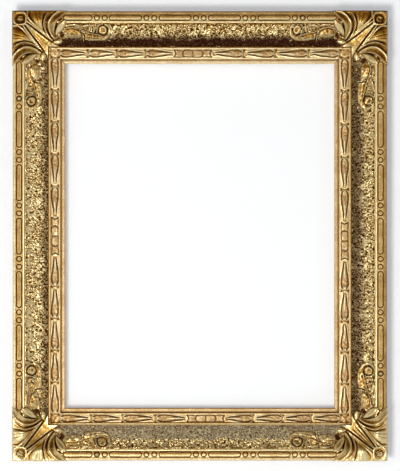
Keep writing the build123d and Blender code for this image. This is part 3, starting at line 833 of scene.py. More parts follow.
def arc_runs(
    start: tuple[float, float], middle: tuple[float, float], end: tuple[float, float], step: float
) -> list[tuple[float, float, float]]:
    """Corners of a curved run through three points, for Profile.traced.

    Args:
        start: Out and height where the curve starts, which isn't repeated.
        middle: Out and height of a point on the curve.
        end: Out and height where the curve ends.
        step: Longest step.

    Returns:
        Corners after the start.
    """
    count = max(math.ceil(math.dist(start, end) / step), 3)
    share = np.linspace(0, 1, count + 1)[1:, None]
    start_p, middle_p, end_p = (np.array(point) for point in (start, middle, end))
    control = 2 * middle_p - (start_p + end_p) / 2
    points = (1 - share) ** 2 * start_p + 2 * share * (1 - share) * control + share**2 * end_p
    return [(float(out), float(height), step) for out, height in points]


@dataclass
class Moulding:
    """One mitred length of moulding, swept along a side and carved."""

    side: Side
    column_step: float
    # Slow unevenness of the front, by hand work and age
    wobble: float = 0.22
    wobble_size: float = 34.0
    wobble_seed: int = 90
    # A surface counts as the front when more than this share of its outward direction points forwards
    front_slope: float = 0.3

    def profile(self) -> Profile:
        """Cross-section of the moulding."""
        raise NotImplementedError

    def carve(self, along: Array, out: Array, front: Array) -> tuple[Array, Array]:
        """Carving on the moulding.

        Args:
            along: Distance along the side, by row and column.
            out: Distance from the sight edge.
            front: 1 on the front and 0 on the sides and back.

        Returns:
            Relief, and marks of age with painted light and shade in them.
        """
        raise NotImplementedError

    def sheet(self, name: str) -> Sheet:
        """Lays the carved surface along the side, with a mitre at each end.

        Args:
            name: Name of the piece.

        Returns:
            The sheet, which closes to a tube.
        """
        profile = self.profile()
        half = LAYOUT.half_length(self.side)
        columns = math.ceil(2 * (half + profile.out.max()) / self.column_step)
        share = np.linspace(-1, 1, columns + 1)[None, :]
        out = profile.out[:, None] + 0 * share
        along = share * (half + out)
        normal_out, normal_height = profile.normals()
        front = (normal_height > self.front_slope).astype(float)[:, None] + 0 * share
        relief, marks = self.carve(along, out, front)
        seed = self.wobble_seed + self.side.number
        sway = self.wobble * front * lattice_noise(along, out, self.wobble_size, seed)
        moved_out = out + normal_out[:, None] * relief
        height = profile.height[:, None] + normal_height[:, None] * (relief + sway)
        moved_out[-1], height[-1] = moved_out[0], height[0]
        return Sheet(
            name,
            LAYOUT.place(self.side, share * (half + moved_out), moved_out, height),
            marks,
            Closing.TUBE,
        )


@dataclass
class SightMoulding(Moulding):
    """Inner moulding: flat sight edge, quirk, small round, and a band of sunk leaves."""

    column_step: float = 0.9
    first_seed: int = 10
    seed_step: int = 7
    band_start: float = 10.8
    band_end: float = 28.2
    leaf_counts: dict[Side, int] = per_side(4, 4, 5, 5)
    centre_along: dict[Side, float] = per_side(-14.0, -12.0, 0.0, 10.0)
    # How much darker the flat sight edge is drawn on each side, and where it ends
    edge_tone: dict[Side, float] = per_side(-0.04, 0.06, 0.04, 0.04)
    edge_end: float = 8.0
    first_leaf: float = 16.0
    centre_length: float = 82.0
    cups_per_half: int = 2
    half_width: float = 6.9
    band_middle: float = 20.4
    groove_depth: float = 2.3
    fork_place: float = 4.8
    fork_depth: float = 1.5
    tab_place: tuple[float, float] = (8.6, 6.8)
    tab_rise: float = 0.9
    throat_depth: float = 0.9
    midrib_rise: float = 1.2
    midrib_half_width: float = 2.0
    shoulder_rise: float = 0.55
    neck_place: float = 10.2
    cup_line_half_width: float = 1.7
    cup_rise: float = 0.7
    # Shares of a leaf's length and of its half width
    pod_outline: tuple[tuple[float, float], ...] = (
        (0.08, 0.52), (0.13, 0.60), (0.18, 0.86), (0.24, 0.99), (0.33, 1.0), (0.45, 0.90), (0.60, 0.70),
        (0.76, 0.50), (0.90, 0.34),
    )
    # Painted shade in the creases between the members, and flats drawn paler, by distance from the sight edge
    creases: tuple[tuple[float, float], ...] = (
        (0.0, 0.0), (0.8, -0.06), (2.5, -0.16), (5.5, -0.10), (6.8, 0.04), (8.2, 0.06), (9.4, -0.04),
        (11.0, -0.10), (28.0, -0.02), (30.0, -0.10), (33.0, 0.0), (34.5, 0.40),
    )

    def profile(self) -> Profile:
        """Lip, flat sight edge, quirk, quarter round, flat band and rounded outer edge.

        Returns:
            The cross-section.
        """
        edge, band, back = LAYOUT.sight_edge_height, LAYOUT.band_height, LAYOUT.back_front
        width = LAYOUT.sight_moulding_width
        runs = [(0.0, back - 2, 1.0), (0.0, edge - 1.2, 4.0), (0.4, edge - 0.4, 0.5), (1.4, edge, 0.6)]
        runs += [(6.0, edge, 1.2), (6.9, edge - 0.3, 0.6), (7.5, edge - 0.9, 0.8), (8.2, edge - 0.6, 0.7)]
        runs += [(8.5, band - 2.6, 0.9)]
        runs += arc_runs((8.5, band - 2.6), (9.2, band - 0.8), (self.band_start + 0.4, band), 0.7)
        runs += [(self.band_end, band, 0.6)]
        crown = ((self.band_end + width) / 2, band + 1.9)
        runs += arc_runs((self.band_end, band), crown, (width, band - 0.4), 0.8)
        runs += [(width, back, 5.0), (7.3, back, 14.0), (7.3, back - 2, 2.0), (0.0, back - 2, 8.0)]
        return Profile.traced(runs)

    def leaves(self) -> list[tuple[float, float, float]]:
        """Leaves on the side, from each corner to the middle.

        Returns:
            Start, direction and length of each leaf.
        """
        half_band = LAYOUT.half_length(self.side) + self.first_leaf
        count = self.leaf_counts[self.side]
        found = []
        for end in (-1, 1):
            centre_edge = self.centre_along[self.side] * end + self.centre_length / 2
            pitch = (half_band - centre_edge) / count
            found += [(end * (half_band - index * pitch), -end, pitch) for index in range(count)]
        return found

    def leaf(self, run: Array, across: Array, length: float) -> tuple[Array, Array, Array]:
        """Carving of one leaf, from its notched tail to its tip.

        Args:
            run: Distance from the tail.
            across: Distance from the middle of the band.
            length: Length of the leaf.

        Returns:
            Relief, grime with painted shade in it, and tan wash.
        """
        share = run / length
        places, widths = zip(*self.pod_outline)
        width = self.half_width * np.interp(share, places, widths)
        ends = smoothstep((share - 0.09) / 0.04) * smoothstep((0.97 - share) / 0.08)
        stroke_width = np.interp(share, (0.08, 0.2, 0.4, 0.95), (1.2, 2.5, 2.1, 1.3))
        line = np.clip(1 - np.abs(across - width) / stroke_width, 0, 1) ** 0.7 * ends
        inside = smoothstep((width - across) / 1.4) * smoothstep((share - 0.13) / 0.10) * ends
        # A forked band parts the leaf from the tip before it, and a throat opens the leaf
        fork = np.exp(-(((run - self.fork_place + 0.22 * across) / (2.3 + 0.10 * across)) ** 2))
        fork *= (0.6 + 0.4 * smoothstep((across - 3.5) / 3.5)) * smoothstep((9.4 - across) / 1.2)
        tab_run, tab_across = self.tab_place
        tab = np.exp(-(((run - tab_run) / 1.5) ** 2) - ((across - tab_across) / 1.6) ** 2)
        relief = -self.groove_depth * line - self.fork_depth * fork + self.tab_rise * tab
        relief -= self.throat_depth * inside * smoothstep((0.62 - share) / 0.3)
        midrib = self.midrib_rise * np.clip(1 - (across / self.midrib_half_width) ** 2, 0, 1)
        midrib *= smoothstep((share - 0.3) / 0.3) * ends
        shoulder = self.shoulder_rise * np.exp(-(((across - width - 2.2) / 1.2) ** 2))
        shoulder *= smoothstep((share - 0.05) / 0.1)
        relief += midrib * smoothstep((width - 0.4 - across) / 0.8) + shoulder
        relief -= 0.5 * smoothstep((share - 0.93) / 0.04) * smoothstep((5 - across) / 2)
        neck = np.exp(-(((run - self.neck_place) / 2.4) ** 2)) * smoothstep((5.6 - across) / 1.8)
        grime_and_shade = 0.80 * fork + 0.75 * line + 0.62 * neck
        return relief, grime_and_shade, inside * smoothstep((0.72 - share) / 0.3)

    def cups(self, run: Array, across: Array) -> tuple[Array, Array, Array]:
        """Carving of the cups that meet in the middle of a side.

        Args:
            run: Distance from the middle.
            across: Distance from the middle of the band.

        Returns:
            Relief, grime with painted shade in it, and tan wash.
        """
        edge, pitch = self.centre_length / 2, self.centre_length / 2 / self.cups_per_half
        span = np.abs(run)
        relief, grime_and_shade = np.zeros(run.shape), np.zeros(run.shape)
        # A straight line in the middle, an arc between the cups and a slanting line at each end
        for gap, depth in (
            (span, 1.0), (span + 0.08 * across**2 - pitch, 1.9), (span - 0.45 * across - edge + 6.5, 2.1)
        ):
            line = np.clip(1 - np.abs(gap) / self.cup_line_half_width, 0, 1)
            line *= smoothstep((self.half_width + 0.8 - across) / 0.8)
            relief -= depth * line
            grime_and_shade += 0.34 * depth * line
        crown = 1 - np.clip(np.abs((span % pitch) / pitch - 0.5) * 2, 0, 1) ** 3
        width = self.half_width * (0.84 + 0.14 * crown)
        side = np.clip(1 - np.abs(across - width) / 1.4, 0, 1) * (span < edge - 3)
        relief += self.cup_rise * crown * smoothstep((width - across) / 2.5) - 1.1 * side
        return relief, grime_and_shade + 0.4 * side, smoothstep((width - across) / 1.6) * (span < edge - 4)

    def carve(self, along: Array, out: Array, front: Array) -> tuple[Array, Array]:
        """Carves the leaves and cups into the band.

        Args:
            along: Distance along the side, by row and column.
            out: Distance from the sight edge.
            front: 1 on the front and 0 on the sides and back.

        Returns:
            Relief, and marks of age with painted light and shade in them.
        """
        seed = self.first_seed + self.seed_step * self.side.number
        across = np.abs(out - self.band_middle + 0.5 * lattice_noise(along, 0 * out, 13.0, seed))
        across = across + 0.3 * lattice_noise(along, out, 5.0, seed + 2)
        forms = [np.zeros(along.shape)] * 3
        sway = 1.2 * lattice_noise(along, 0 * out, 40.0, seed + 3)
        for start, direction, length in self.leaves():
            run = (along - start) * direction
            here = (run > 0) & (run < length)
            leaf = self.leaf(run + sway, across, length)
            forms = [np.where(here, *both) for both in zip(leaf, forms)]
        run = along - self.centre_along[self.side]
        here = np.abs(run) < self.centre_length / 2
        relief, grime_and_shade, tan = (np.where(here, *both) for both in zip(self.cups(run, across), forms))
        relief += (0.25 + 0.75 * tan) * 0.5 * lattice_noise(along, out, 2.8, seed + 1) * (relief < 0)
        on_band = smoothstep((out - self.band_start - 0.6) / 1.4)
        on_band *= smoothstep((self.band_end + 1.6 - out) / 1.6)
        relief *= on_band * front
        marks = np.zeros((*along.shape, 4))
        marks[..., HOLLOW_AND_PAINTED_LIGHT] = 0.45 + 1.4 * (hollowness(relief, 4, 2.6) - 0.5) + 0.06 * tan * on_band * front
        # Past the leaves, each corner has a plain square that is blotched
        beyond = smoothstep((np.abs(along) - LAYOUT.half_length(self.side) - self.first_leaf + 2) / 3)
        blotch = smoothstep(0.4 + 1.2 * lattice_noise(along, out, 3.4, seed + 4))
        marks[..., HOLLOW_AND_PAINTED_LIGHT] += 0.22 * beyond * blotch * front
        mottle = 0.75 + 0.7 * lattice_noise(along, out, 3.2, seed + 5)
        marks[..., DUST_AND_SHADE] = np.clip((0.62 * tan + 0.45 * beyond) * mottle, 0, 1) * on_band * front
        marks[..., DUST_AND_SHADE] = np.maximum(marks[..., DUST_AND_SHADE], 0.42 * (out < self.edge_end) * front)
        # Painted shade in the creases, with the sight edge darker by side
        crease = np.interp(out, *zip(*self.creases))
        crease = crease + self.edge_tone[self.side] * smoothstep((self.edge_end - out) / 2.0)
        marks[..., HOLLOW_AND_PAINTED_LIGHT] = np.clip(marks[..., HOLLOW_AND_PAINTED_LIGHT] + crease * front, 0, 1)
        joint = np.exp(-(((np.abs(along) - LAYOUT.half_length(self.side) - out) / 0.7) ** 2))
        marks[..., HOLLOW_AND_PAINTED_LIGHT] = np.clip(marks[..., HOLLOW_AND_PAINTED_LIGHT] + 0.35 * joint, 0, 1)
        # The carved lines take the wash, and so does what faces back
        marks[..., BARE] = np.maximum((1 - front) * (out > 1.0), np.clip(grime_and_shade, 0, 1) * on_band * front)
        return relief, marks


@dataclass
class CoveMoulding(Moulding):
    """Outer moulding: pebbled cove, fillets either side of the bead channel, and scooped side."""

    column_step: float = 1.1
    first_seed: int = 40
    seed_step: int = 11
    pebble_size: float = 4.6
    pebble_depth: float = 1.9
    furrow_width: float = 1.9
    warp: float = 2.4
    warp_size: float = 8.0
    worn_size: float = 9.0
    pit_size: float = 3.0
    pit_share: float = 0.7
    # Distance from the sight edge where the grime, mostly dirt and partly painted shade, is half as deep, the
    # width it fades over, and its depth
    grime_and_shade_fade: dict[Side, tuple[float, float, float]] = per_side(
        (58.0, 24.0, 1.0), (42.0, 16.0, 0.45), (48.0, 24.0, 0.86), (62.5, 36.0, 0.88)
    )
    # How much brighter the cove's outer half is drawn on each side, where that starts and the width it grows
    # over: burnish, with painted light in how the sides differ
    lift: dict[Side, float] = per_side(-0.10, 0.44, 0.42, 0.24)
    lift_start: float = 46.0
    lift_width: float = 18.0
    # Painted shade: how much darker and duller the outer fillet is drawn on each side, most on the top and
    # right, and where it starts
    rim_painted_shade: dict[Side, float] = per_side(0.34, 0.10, 0.08, 0.34)
    rim_start: float = 98.4
    dusty_and_shaded: Side = Side.BOTTOM
    dust_width: float = 63.0

    def profile(self) -> Profile:
        """Cove, crease, inner fillet, bead channel, outer fillet and scooped side.

        Returns:
            The cross-section.
        """
        back, top, width = LAYOUT.back_front, LAYOUT.fillet_height, LAYOUT.rail_width
        start, end = LAYOUT.sight_moulding_width, LAYOUT.cove_end_out
        first, last = LAYOUT.channel_start, LAYOUT.channel_end
        runs = [(start, back, 1.0)]
        cove = np.linspace(start, end - 1, 47)
        runs += [(float(out), float(LAYOUT.cove_height(out)), 2.0) for out in cove]
        runs += [(80.4, LAYOUT.cove_end_height - 1.0, 1.0)]
        runs += [(80.8, top - 1.7, 0.9)]
        runs += arc_runs((80.8, top - 1.7), (82.6, top + 0.1), (first, top - 0.6), 0.55)
        floor = LAYOUT.channel_floor
        runs += [(first, floor, 1.3), (last, floor, 4.5), (last, top - 1.2, 1.3)]
        runs += arc_runs((last, top - 1.2), (last + 0.35, top - 0.35), (last + 1.2, top), 0.6)
        runs += [(width - 1.6, top, 1.2)]
        runs += arc_runs((width - 1.6, top), (width - 0.45, top - 0.45), (width, top - 1.6), 0.6)
        runs += [(width, top - 7, 2.0)]
        runs += arc_runs((width, top - 7), (100.4, 39.5), (99.5, back + 10), 2.0)
        runs += [(99.5, back, 5.0), (start, back, 22.0)]
        return Profile.traced(runs)

    def carve(self, along: Array, out: Array, front: Array) -> tuple[Array, Array]:
        """Roughens the cove with pebbles and worm-like furrows.

        Args:
            along: Distance along the side, by row and column.
            out: Distance from the sight edge.
            front: 1 on the front and 0 on the sides and back.

        Returns:
            Relief, and marks of age with painted light and shade in them.
        """
        seed = self.first_seed + self.seed_step * self.side.number
        start, end = LAYOUT.sight_moulding_width, LAYOUT.cove_end_out
        warp, sway = (self.warp * lattice_noise(along, out, self.warp_size, seed + step) for step in (0, 1))
        near, following = cells(along + warp, 1.25 * out + sway, self.pebble_size, seed + 2)
        ridge = smoothstep((following - near) / self.furrow_width)
        opened = smoothstep(0.75 + 0.8 * lattice_noise(along, out, self.worn_size, seed + 3))
        pits = smoothstep(lattice_noise(along, out, self.pit_size, seed + 4) * 1.9 - 0.45)
        pebbles = -(1 - ridge) * (0.25 + 0.75 * opened) - self.pit_share * pits
        for share, size, step in ((0.4, 3.6, 5), (0.3, 14.0, 6)):
            pebbles += share * lattice_noise(along, out, size, seed + step)
        on_cove = front * (out > start) * (out < end)
        fade = smoothstep((out - start) / 1.8) * smoothstep((end - 0.4 - out) / 1.8)
        relief = self.pebble_depth * pebbles * fade * on_cove
        marks = np.zeros((*along.shape, 4))
        # The cove's outer half is drawn brighter: burnish, with painted light in how much it differs by side
        lit = smoothstep((out - self.lift_start) / self.lift_width)
        sunk = hollowness(relief, 3, 1.5) - 0.5
        contrast = (2.3 + 0.6 * lit) * sunk + 0.32 * pits
        marks[..., HOLLOW_AND_PAINTED_LIGHT] = np.where(on_cove > 0, 0.29 + contrast - self.lift[self.side] * lit, 0.30)
        # Painted shade darkens the cove's edge by the sight moulding, the step below the inner fillet and the
        # bead channel; the fillets are drawn paler
        crease = np.interp(
            out, (start, start + 1.5, 76.5, 78.4, 80.6, 81.0, 84.8, 85.4, 98.2, 98.8, 103.5, 104.5),
            (0.4, 0.0, 0.0, 0.5, 0.6, -0.20, -0.20, 0.4, 0.4, -0.12, -0.12, 0.1),
        )
        # Painted shade on the outer fillet, most on the top and right
        crease = crease + self.rim_painted_shade[self.side] * (out > self.rim_start)
        marks[..., HOLLOW_AND_PAINTED_LIGHT] = np.clip(marks[..., HOLLOW_AND_PAINTED_LIGHT] + crease * front, 0, 1)
        ragged = 3.0 * lattice_noise(along, out, 9.0, seed + 7)
        ragged += 1.6 * lattice_noise(along, out, 3.0, seed + 8)
        # Grime by the sight moulding, deepest on the top and right: mostly dirt, partly painted shade
        edge, fade_width, deepest = self.grime_and_shade_fade[self.side]
        marks[..., GRIME_AND_SHADE] = deepest * smoothstep((edge + ragged - out) / fade_width + 0.5) * on_cove
        # Dust on the bottom side, whose grey is partly painted shade
        if self.side is self.dusty_and_shaded:
            dusty_and_shaded = smoothstep((self.dust_width + ragged - out) / 7.0 + 0.5) * on_cove
            marks[..., DUST_AND_SHADE] = dusty_and_shaded * np.clip(0.86 + 0.5 * sunk - 0.3 * pits, 0, 1)
        marks[..., DUST_AND_SHADE] = np.maximum(marks[..., DUST_AND_SHADE], 0.55 * (out > self.rim_start) * front)
        marks[..., BARE] = (1 - front) * (out > start + 0.5)
        return relief, marks


@dataclass
class BeadStrip:
    """Strip of long bars and pairs of beads, each in its own sunk pocket."""

    side: Side
    pairs: dict[Side, int] = per_side(5, 5, 6, 6)
    pitch_share: dict[Side, float] = per_side(0.18, 0.18, 0.1525, 0.1525)
    first_seed: int = 70
    end_setback: float = 4.5
    width: float = 12.7
    top: float = 51.7
    pocket_floor: float = 49.9
    bead_radius: float = 4.4
    bead_crest: float = 55.0
    pocket_radius: float = 6.3
    pocket_edge: float = 1.1
    bar_gap: float = 22.6
    bead_spacing: float = 16.0
    web: float = 2.6
    row_step: float = 0.62
    column_step: float = 0.85
    tone: dict[Side, float] = per_side(-0.12, -0.12, 0.12, 0.08)
    # Painted shade: where a bar faces up it is drawn darker, as if lit from below
    upper_shade: float = 0.38
    dust: float = 0.48

    def forms(self) -> list[tuple[float, float]]:
        """Bars and beads of the strip.

        Returns:
            Both ends of each form's centre line, which meet in a bead.
        """
        half = LAYOUT.half_length(self.side) + self.end_setback
        pairs = self.pairs[self.side]
        pitch = self.pitch_share[self.side] * 2 * half
        places = [(index - (pairs - 1) / 2) * pitch for index in range(pairs)]
        gap = self.bar_gap
        starts = [-half + self.web + self.bead_radius] + [place + gap for place in places]
        ends = [place - gap for place in places] + [half - self.web - self.bead_radius]
        bars = list(zip(starts, ends))
        half_gap = self.bead_spacing / 2
        return bars + [(place + hand * half_gap,) * 2 for place in places for hand in (-1, 1)]

    def sheet(self, name: str) -> Sheet:
        """Lays the beaded surface in its channel.

        Args:
            name: Name of the piece.

        Returns:
            The sheet, which closes to a tube.
        """
        seed = self.first_seed + self.side.number
        half = LAYOUT.half_length(self.side) + self.end_setback
        first = (LAYOUT.channel_start + LAYOUT.channel_end - self.width) / 2
        last = first + self.width
        rows = math.ceil(self.width / self.row_step)
        columns = math.ceil(2 * half / self.column_step)
        along = np.linspace(-half, half, columns + 1)[None, :]
        front_out = np.linspace(first, last, rows + 1)[:, None]
        across = front_out - (first + last) / 2
        height = np.full((rows + 1, columns + 1), self.top)
        uneven = 0.25 * lattice_noise(along, front_out, 12.0, seed)
        grime_and_shade = np.zeros(height.shape)
        # Painted shade in the gap round each form, darker on the side towards the sight edge
        depth = 0.8 - 0.35 * smoothstep(0.5 + across / 6)
        for start, end in self.forms():
            beyond = np.maximum(np.maximum(start - along, along - end), 0)
            gap = np.hypot(beyond, across + uneven)
            pocket = smoothstep((self.pocket_radius - gap) / self.pocket_edge)
            height = np.minimum(height, self.top - (self.top - self.pocket_floor) * pocket)
            grime_and_shade = np.maximum(grime_and_shade, depth * np.exp(-(((gap - self.bead_radius - 0.7) / 0.9) ** 2)))
            share = np.clip(gap / self.bead_radius, 0, 1)
            dome = 0.55 * np.sqrt(1 - share**2) + 0.45 * (1 - share**1.5)
            foot = self.pocket_floor + 0.4
            crest = foot + (self.bead_crest - foot) * dome
            height = np.where(gap < self.bead_radius, np.maximum(height, crest), height)
        marks = np.zeros((rows + 1, columns + 1, 4))
        # Painted shade on the upper half of the bars on the top and bottom sides
        upper_half = smoothstep(0.5 + self.side.value[1] * across / 5)
        shade = self.tone[self.side] + self.upper_shade * (self.side.value[1] != 0) * upper_half
        marks[..., HOLLOW_AND_PAINTED_LIGHT] = np.clip(1.25 * (hollowness(height, 4, 2.4) - 0.5) + 0.42 + shade, 0, 1)
        marks[..., GRIME_AND_SHADE] = grime_and_shade
        marks[..., DUST_AND_SHADE] = self.dust * (1 - np.clip(1.6 * grime_and_shade, 0, 1))
        # Rows on the channel's floor close the strip: one before the first, one after the last, and the first
        out = np.vstack((front_out[:1], front_out, front_out[-1:], front_out[:1])) + 0 * along
        level = np.full((1, columns + 1), LAYOUT.channel_floor)
        height = np.vstack((level, height, level, level))
        marks = np.concatenate((marks[:1], marks, marks[-1:], marks[:1]))
        return Sheet(name, LAYOUT.place(self.side, along + 0 * out, out, height), marks, Closing.TUBE)


# Ornaments


@dataclass
class CornerOrnament:
    """Corner piece: boss in a cup, wedge on the mitre, and a lobe, C-leaf and bud to each side.

    Places are measured along the rail and down the stile from the frame's outer corner.
    """

    handedness: dict[str, tuple[int, int]] = field(
        default_factory=lambda: {
            "top_left": (-1, 1), "top_right": (1, 1), "bottom_left": (-1, -1), "bottom_right": (1, -1),
        }
    )
    first_seed: int = 200
    seed_step: int = 10
    bulge: float = 1.45
    reach: float = 109.0
    step: float = 0.75
    skin: float = 4.0
    rise: float = 3.5
    sunk: float = 3.0
    # How softly the step in the moulding is bridged, in steps of the sheet, and the slope to the mitre
    bridge_steps: int = 5
    mitre_slope: float = 0.10
    boss_place: float = 15.0
    boss_radius: float = 8.6
    boss_sink: float = 4.6
    lip_radius: float = 12.2
    lip_half_width: float = 2.2
    # Power of the lip's outline, which is a square with round corners
    lip_power: float = 3.2
    moat_radius: float = 9.3
    moat_depth: float = 0.8
    lump_depth: float = 2.0
    outline: tuple[tuple[float, float], ...] = (
        (6.0, -3.0), (30, -3), (52, -3), (78, -3), (99, -3), (100.5, 4), (99.5, 14), (104, 20), (107, 24),
        (101, 33), (93, 41), (88, 50), (97, 55), (101, 60), (96, 65), (86, 66), (79, 68), (72, 71),
    )
    lobes: tuple[Stroke, ...] = (
        Stroke(((60, 40, 3.0, 1.8), (53.5, 26, 8.0, 4.6), (50, 12, 11.5, 3.4), (48.5, -4, 13.0, 0.8))),
    )
    flutes: tuple[Stroke, ...] = (
        Stroke(((54, 30, 0.8, 0.5), (50, 16, 1.6, 0.9), (46, 0, 1.8, 0.9)), Section.GROOVE, 0.2),
        Stroke(((58, 28, 0.8, 0.4), (56, 16, 1.5, 0.8), (54.5, 0, 1.7, 0.8)), Section.GROOVE, 0.15),
        Stroke(((34, 1, 1.4, 1.2), (34.6, 11, 1.6, 1.2), (42, 22, 1.7, 1.4), (54, 34, 1.6, 1.6),
                (63, 44, 1.2, 1.8)), Section.GROOVE, 0.15),
        Stroke(((65, 2, 1.5, 2.0), (61.5, 15, 1.7, 2.8), (60, 27, 1.7, 2.8), (63.5, 41, 1.5, 2.4),
                (70, 51, 1.0, 1.6)), Section.GROOVE, 0.75),
    )
    ribs: tuple[Stroke, ...] = (
        Stroke(((29.5, 2, 2.0, 3.6), (30.4, 12, 2.5, 4.4), (37.5, 21.5, 2.7, 4.8), (49.5, 31.5, 2.6, 4.8),
                (61.5, 41.5, 2.2, 4.6), (72.5, 50.5, 1.6, 4.0))),
        Stroke(((72, 3, 1.2, 3.4), (66, 13, 1.5, 4.4), (63.2, 24, 1.6, 4.6), (64.8, 36, 1.6, 4.6),
                (70, 47, 1.4, 4.4), (77, 56, 1.1, 3.8))),
    )
    leaf: tuple[Stroke, ...] = (
        Stroke(((104, 1, 3.0, 2.6), (96, 6, 5.5, 3.8), (86, 14, 7.0, 4.6), (80.5, 23, 7.4, 4.8),
                (79, 33, 6.8, 4.8), (81, 43, 5.0, 4.4), (86, 53, 2.2, 3.6)), Section.DISH, 0.62),
        Stroke(((97, -1.5, 2.0, 4.2), (91, 1.8, 2.3, 5.4), (81, 10.5, 2.5, 6.4), (74.3, 21, 2.5, 6.8),
                (72.6, 31, 2.4, 6.8), (75.2, 42, 2.1, 6.4), (81, 52.3, 1.7, 5.4), (85, 57, 1.1, 4.4))),
    )
    undercuts: tuple[Stroke, ...] = (
        Stroke(((78, 5, 1.0, 1.6), (70, 15, 1.4, 2.6), (67.6, 26, 1.5, 2.8), (69.4, 38, 1.5, 2.8),
                (75, 48.5, 1.2, 2.2), (80, 54.5, 0.9, 1.4)), Section.GROOVE, 0.85),
        Stroke(((103, 13, 1.4, 3.0), (97, 16.5, 2.0, 4.4), (89.8, 23.5, 2.3, 5.2), (85.8, 33, 2.4, 5.4),
                (85, 42, 2.0, 5.0), (86, 50, 1.4, 3.6)), Section.GROOVE, 1.0),
        Stroke(((110, 30, 1.6, 3.0), (105, 38, 2.4, 4.5), (98.5, 45.5, 3.0, 5.0), (92, 53, 2.2, 4.2)),
               Section.GROOVE, 1.0),
    )
    bud: tuple[Stroke, ...] = (
        Stroke(((105.5, 20, 2.4, 5.0), (101, 26.5, 5.8, 6.4), (95.5, 33.5, 6.6, 6.8), (90, 40.5, 4.6, 5.8),
                (86.5, 47.5, 1.2, 3.6))),
        Stroke(((103, 23.5, 0.7, 0.5), (95.5, 33.5, 1.1, 1.0), (89, 42.5, 0.7, 0.5)), Section.GROOVE, 0.3),
    )
    button: tuple[Stroke, ...] = (
        Stroke(((84, 61.4, 3.4, 4.8), (90, 60.6, 5.4, 5.8), (97, 59.8, 3.0, 4.6))),
    )
    wedge: tuple[Stroke, ...] = (
        Stroke(((24, 24, 1.2, 4.6), (36, 36, 5.4, 4.2), (48, 48, 8.6, 3.8), (60, 60, 11.4, 3.8),
                (71, 71, 13.8, 3.6), (84, 84, 17.0, 3.6)), Section.PLATE),
    )
    wedge_rims: tuple[Stroke, ...] = (
        Stroke(((28.5, 20.5, 1.6, 5.2), (40, 28.6, 2.0, 5.4), (52.5, 37.9, 2.1, 5.4), (66, 48.2, 1.9, 5.0),
                (79.5, 58.4, 1.4, 4.4))),
    )
    wedge_grooves: tuple[Stroke, ...] = (
        Stroke(((26.5, 23.5, 1.2, 2.8), (38.5, 32.0, 1.5, 3.6), (51.0, 41.6, 1.6, 3.8),
                (64.5, 51.9, 1.6, 3.6), (78.5, 62.2, 1.4, 2.8)), Section.GROOVE, 0.7),
        Stroke(((35.5, 36, 0.8, 0.0), (50, 54, 1.2, 0.5), (62, 69, 0.8, 0.3)), Section.GROOVE),
    )
    # The wedge at the lower right is reeded
    reeds: tuple[Stroke, ...] = (
        Stroke(((29, 30.5, 0.8, 1.0), (44, 47.5, 1.2, 1.8), (62, 67, 1.3, 1.6)), Section.GROOVE, 0.4),
    )
    reeded: str = "bottom_right"
    # Share of their grime and painted shade that the grooves below the wedge keep: painted light where light
    # from below reaches them
    pale_share: float = 0.35
    # Painted light and shade near the outer corner: the top corners are drawn darker and the bottom ones
    # paler, as if lit from below
    top_tone: float = 0.20
    bottom_tone: float = -0.16
    # Height from the wall past which crests are drawn in, and by what share
    crest_limit: float = 60.0
    crest_share: float = 0.45
    edge_roll: float = 3.4
    edge_roll_width: float = 3.0
    hollow_place: tuple[float, float] = (100.0, 48.0)
    hollow_radius: float = 7.0

    def boss(self, x: Array, y: Array, height: Array, grime_and_shade: Array, seed: int) -> None:
        """Sets the boss in its cup at the corner.

        Args:
            x: Distance from the corner along the rail.
            y: Distance from the corner down the stile.
            height: Height so far, which is changed.
            grime_and_shade: Grime and painted shade so far, which is changed.
            seed: Number that picks the boss's lumps.
        """
        top = LAYOUT.fillet_height + self.rise
        across, up = np.abs(x - self.boss_place), np.abs(y - self.boss_place)
        square = (across**self.lip_power + up**self.lip_power) ** (1 / self.lip_power)
        gap = np.hypot(across, up)
        turn = np.arctan2(y - self.boss_place, x - self.boss_place) - math.pi / 4
        turn = np.abs((turn + math.pi) % (2 * math.pi) - math.pi)
        lip_rise = np.interp(turn, (0, 1.7, 2.3, math.pi), (3.6, 3.0, 0.6, 0.2))
        bowl = square < self.lip_radius + 1.4
        height[:] = np.where(bowl, top - 0.4, height)
        from_lip = np.abs(square - self.lip_radius) / self.lip_half_width
        lip = top + lip_rise * np.sqrt(np.clip(1 - from_lip**2, 0, 1))
        height[:] = np.where(from_lip < 1, np.maximum(height, lip), height)
        moat = np.exp(-(((gap - self.moat_radius) / 1.1) ** 2)) * bowl
        moat *= np.interp(turn, (0.9, 2.2), (0.8, 0.15))
        height[:] -= self.moat_depth * moat
        crest = top - self.boss_sink - 0.4 + np.sqrt(np.clip(self.boss_radius**2 - gap**2, 0, None))
        # The boss is a worn rosette, of which only lumps and pits are left
        lumps = lattice_noise(x, y, 3.4, seed) + 0.6 * lattice_noise(x, y, 1.9, seed + 1)
        crest -= self.lump_depth * np.clip(0.3 - lumps, 0, 1)
        on_boss = gap < self.boss_radius - 0.3
        height[:] = np.where(on_boss, crest, height)
        dark = np.maximum(0.4 * moat, on_boss * (0.25 + 0.6 * smoothstep(0.3 - lumps)))
        grime_and_shade[:] = np.where(bowl, dark, grime_and_shade)

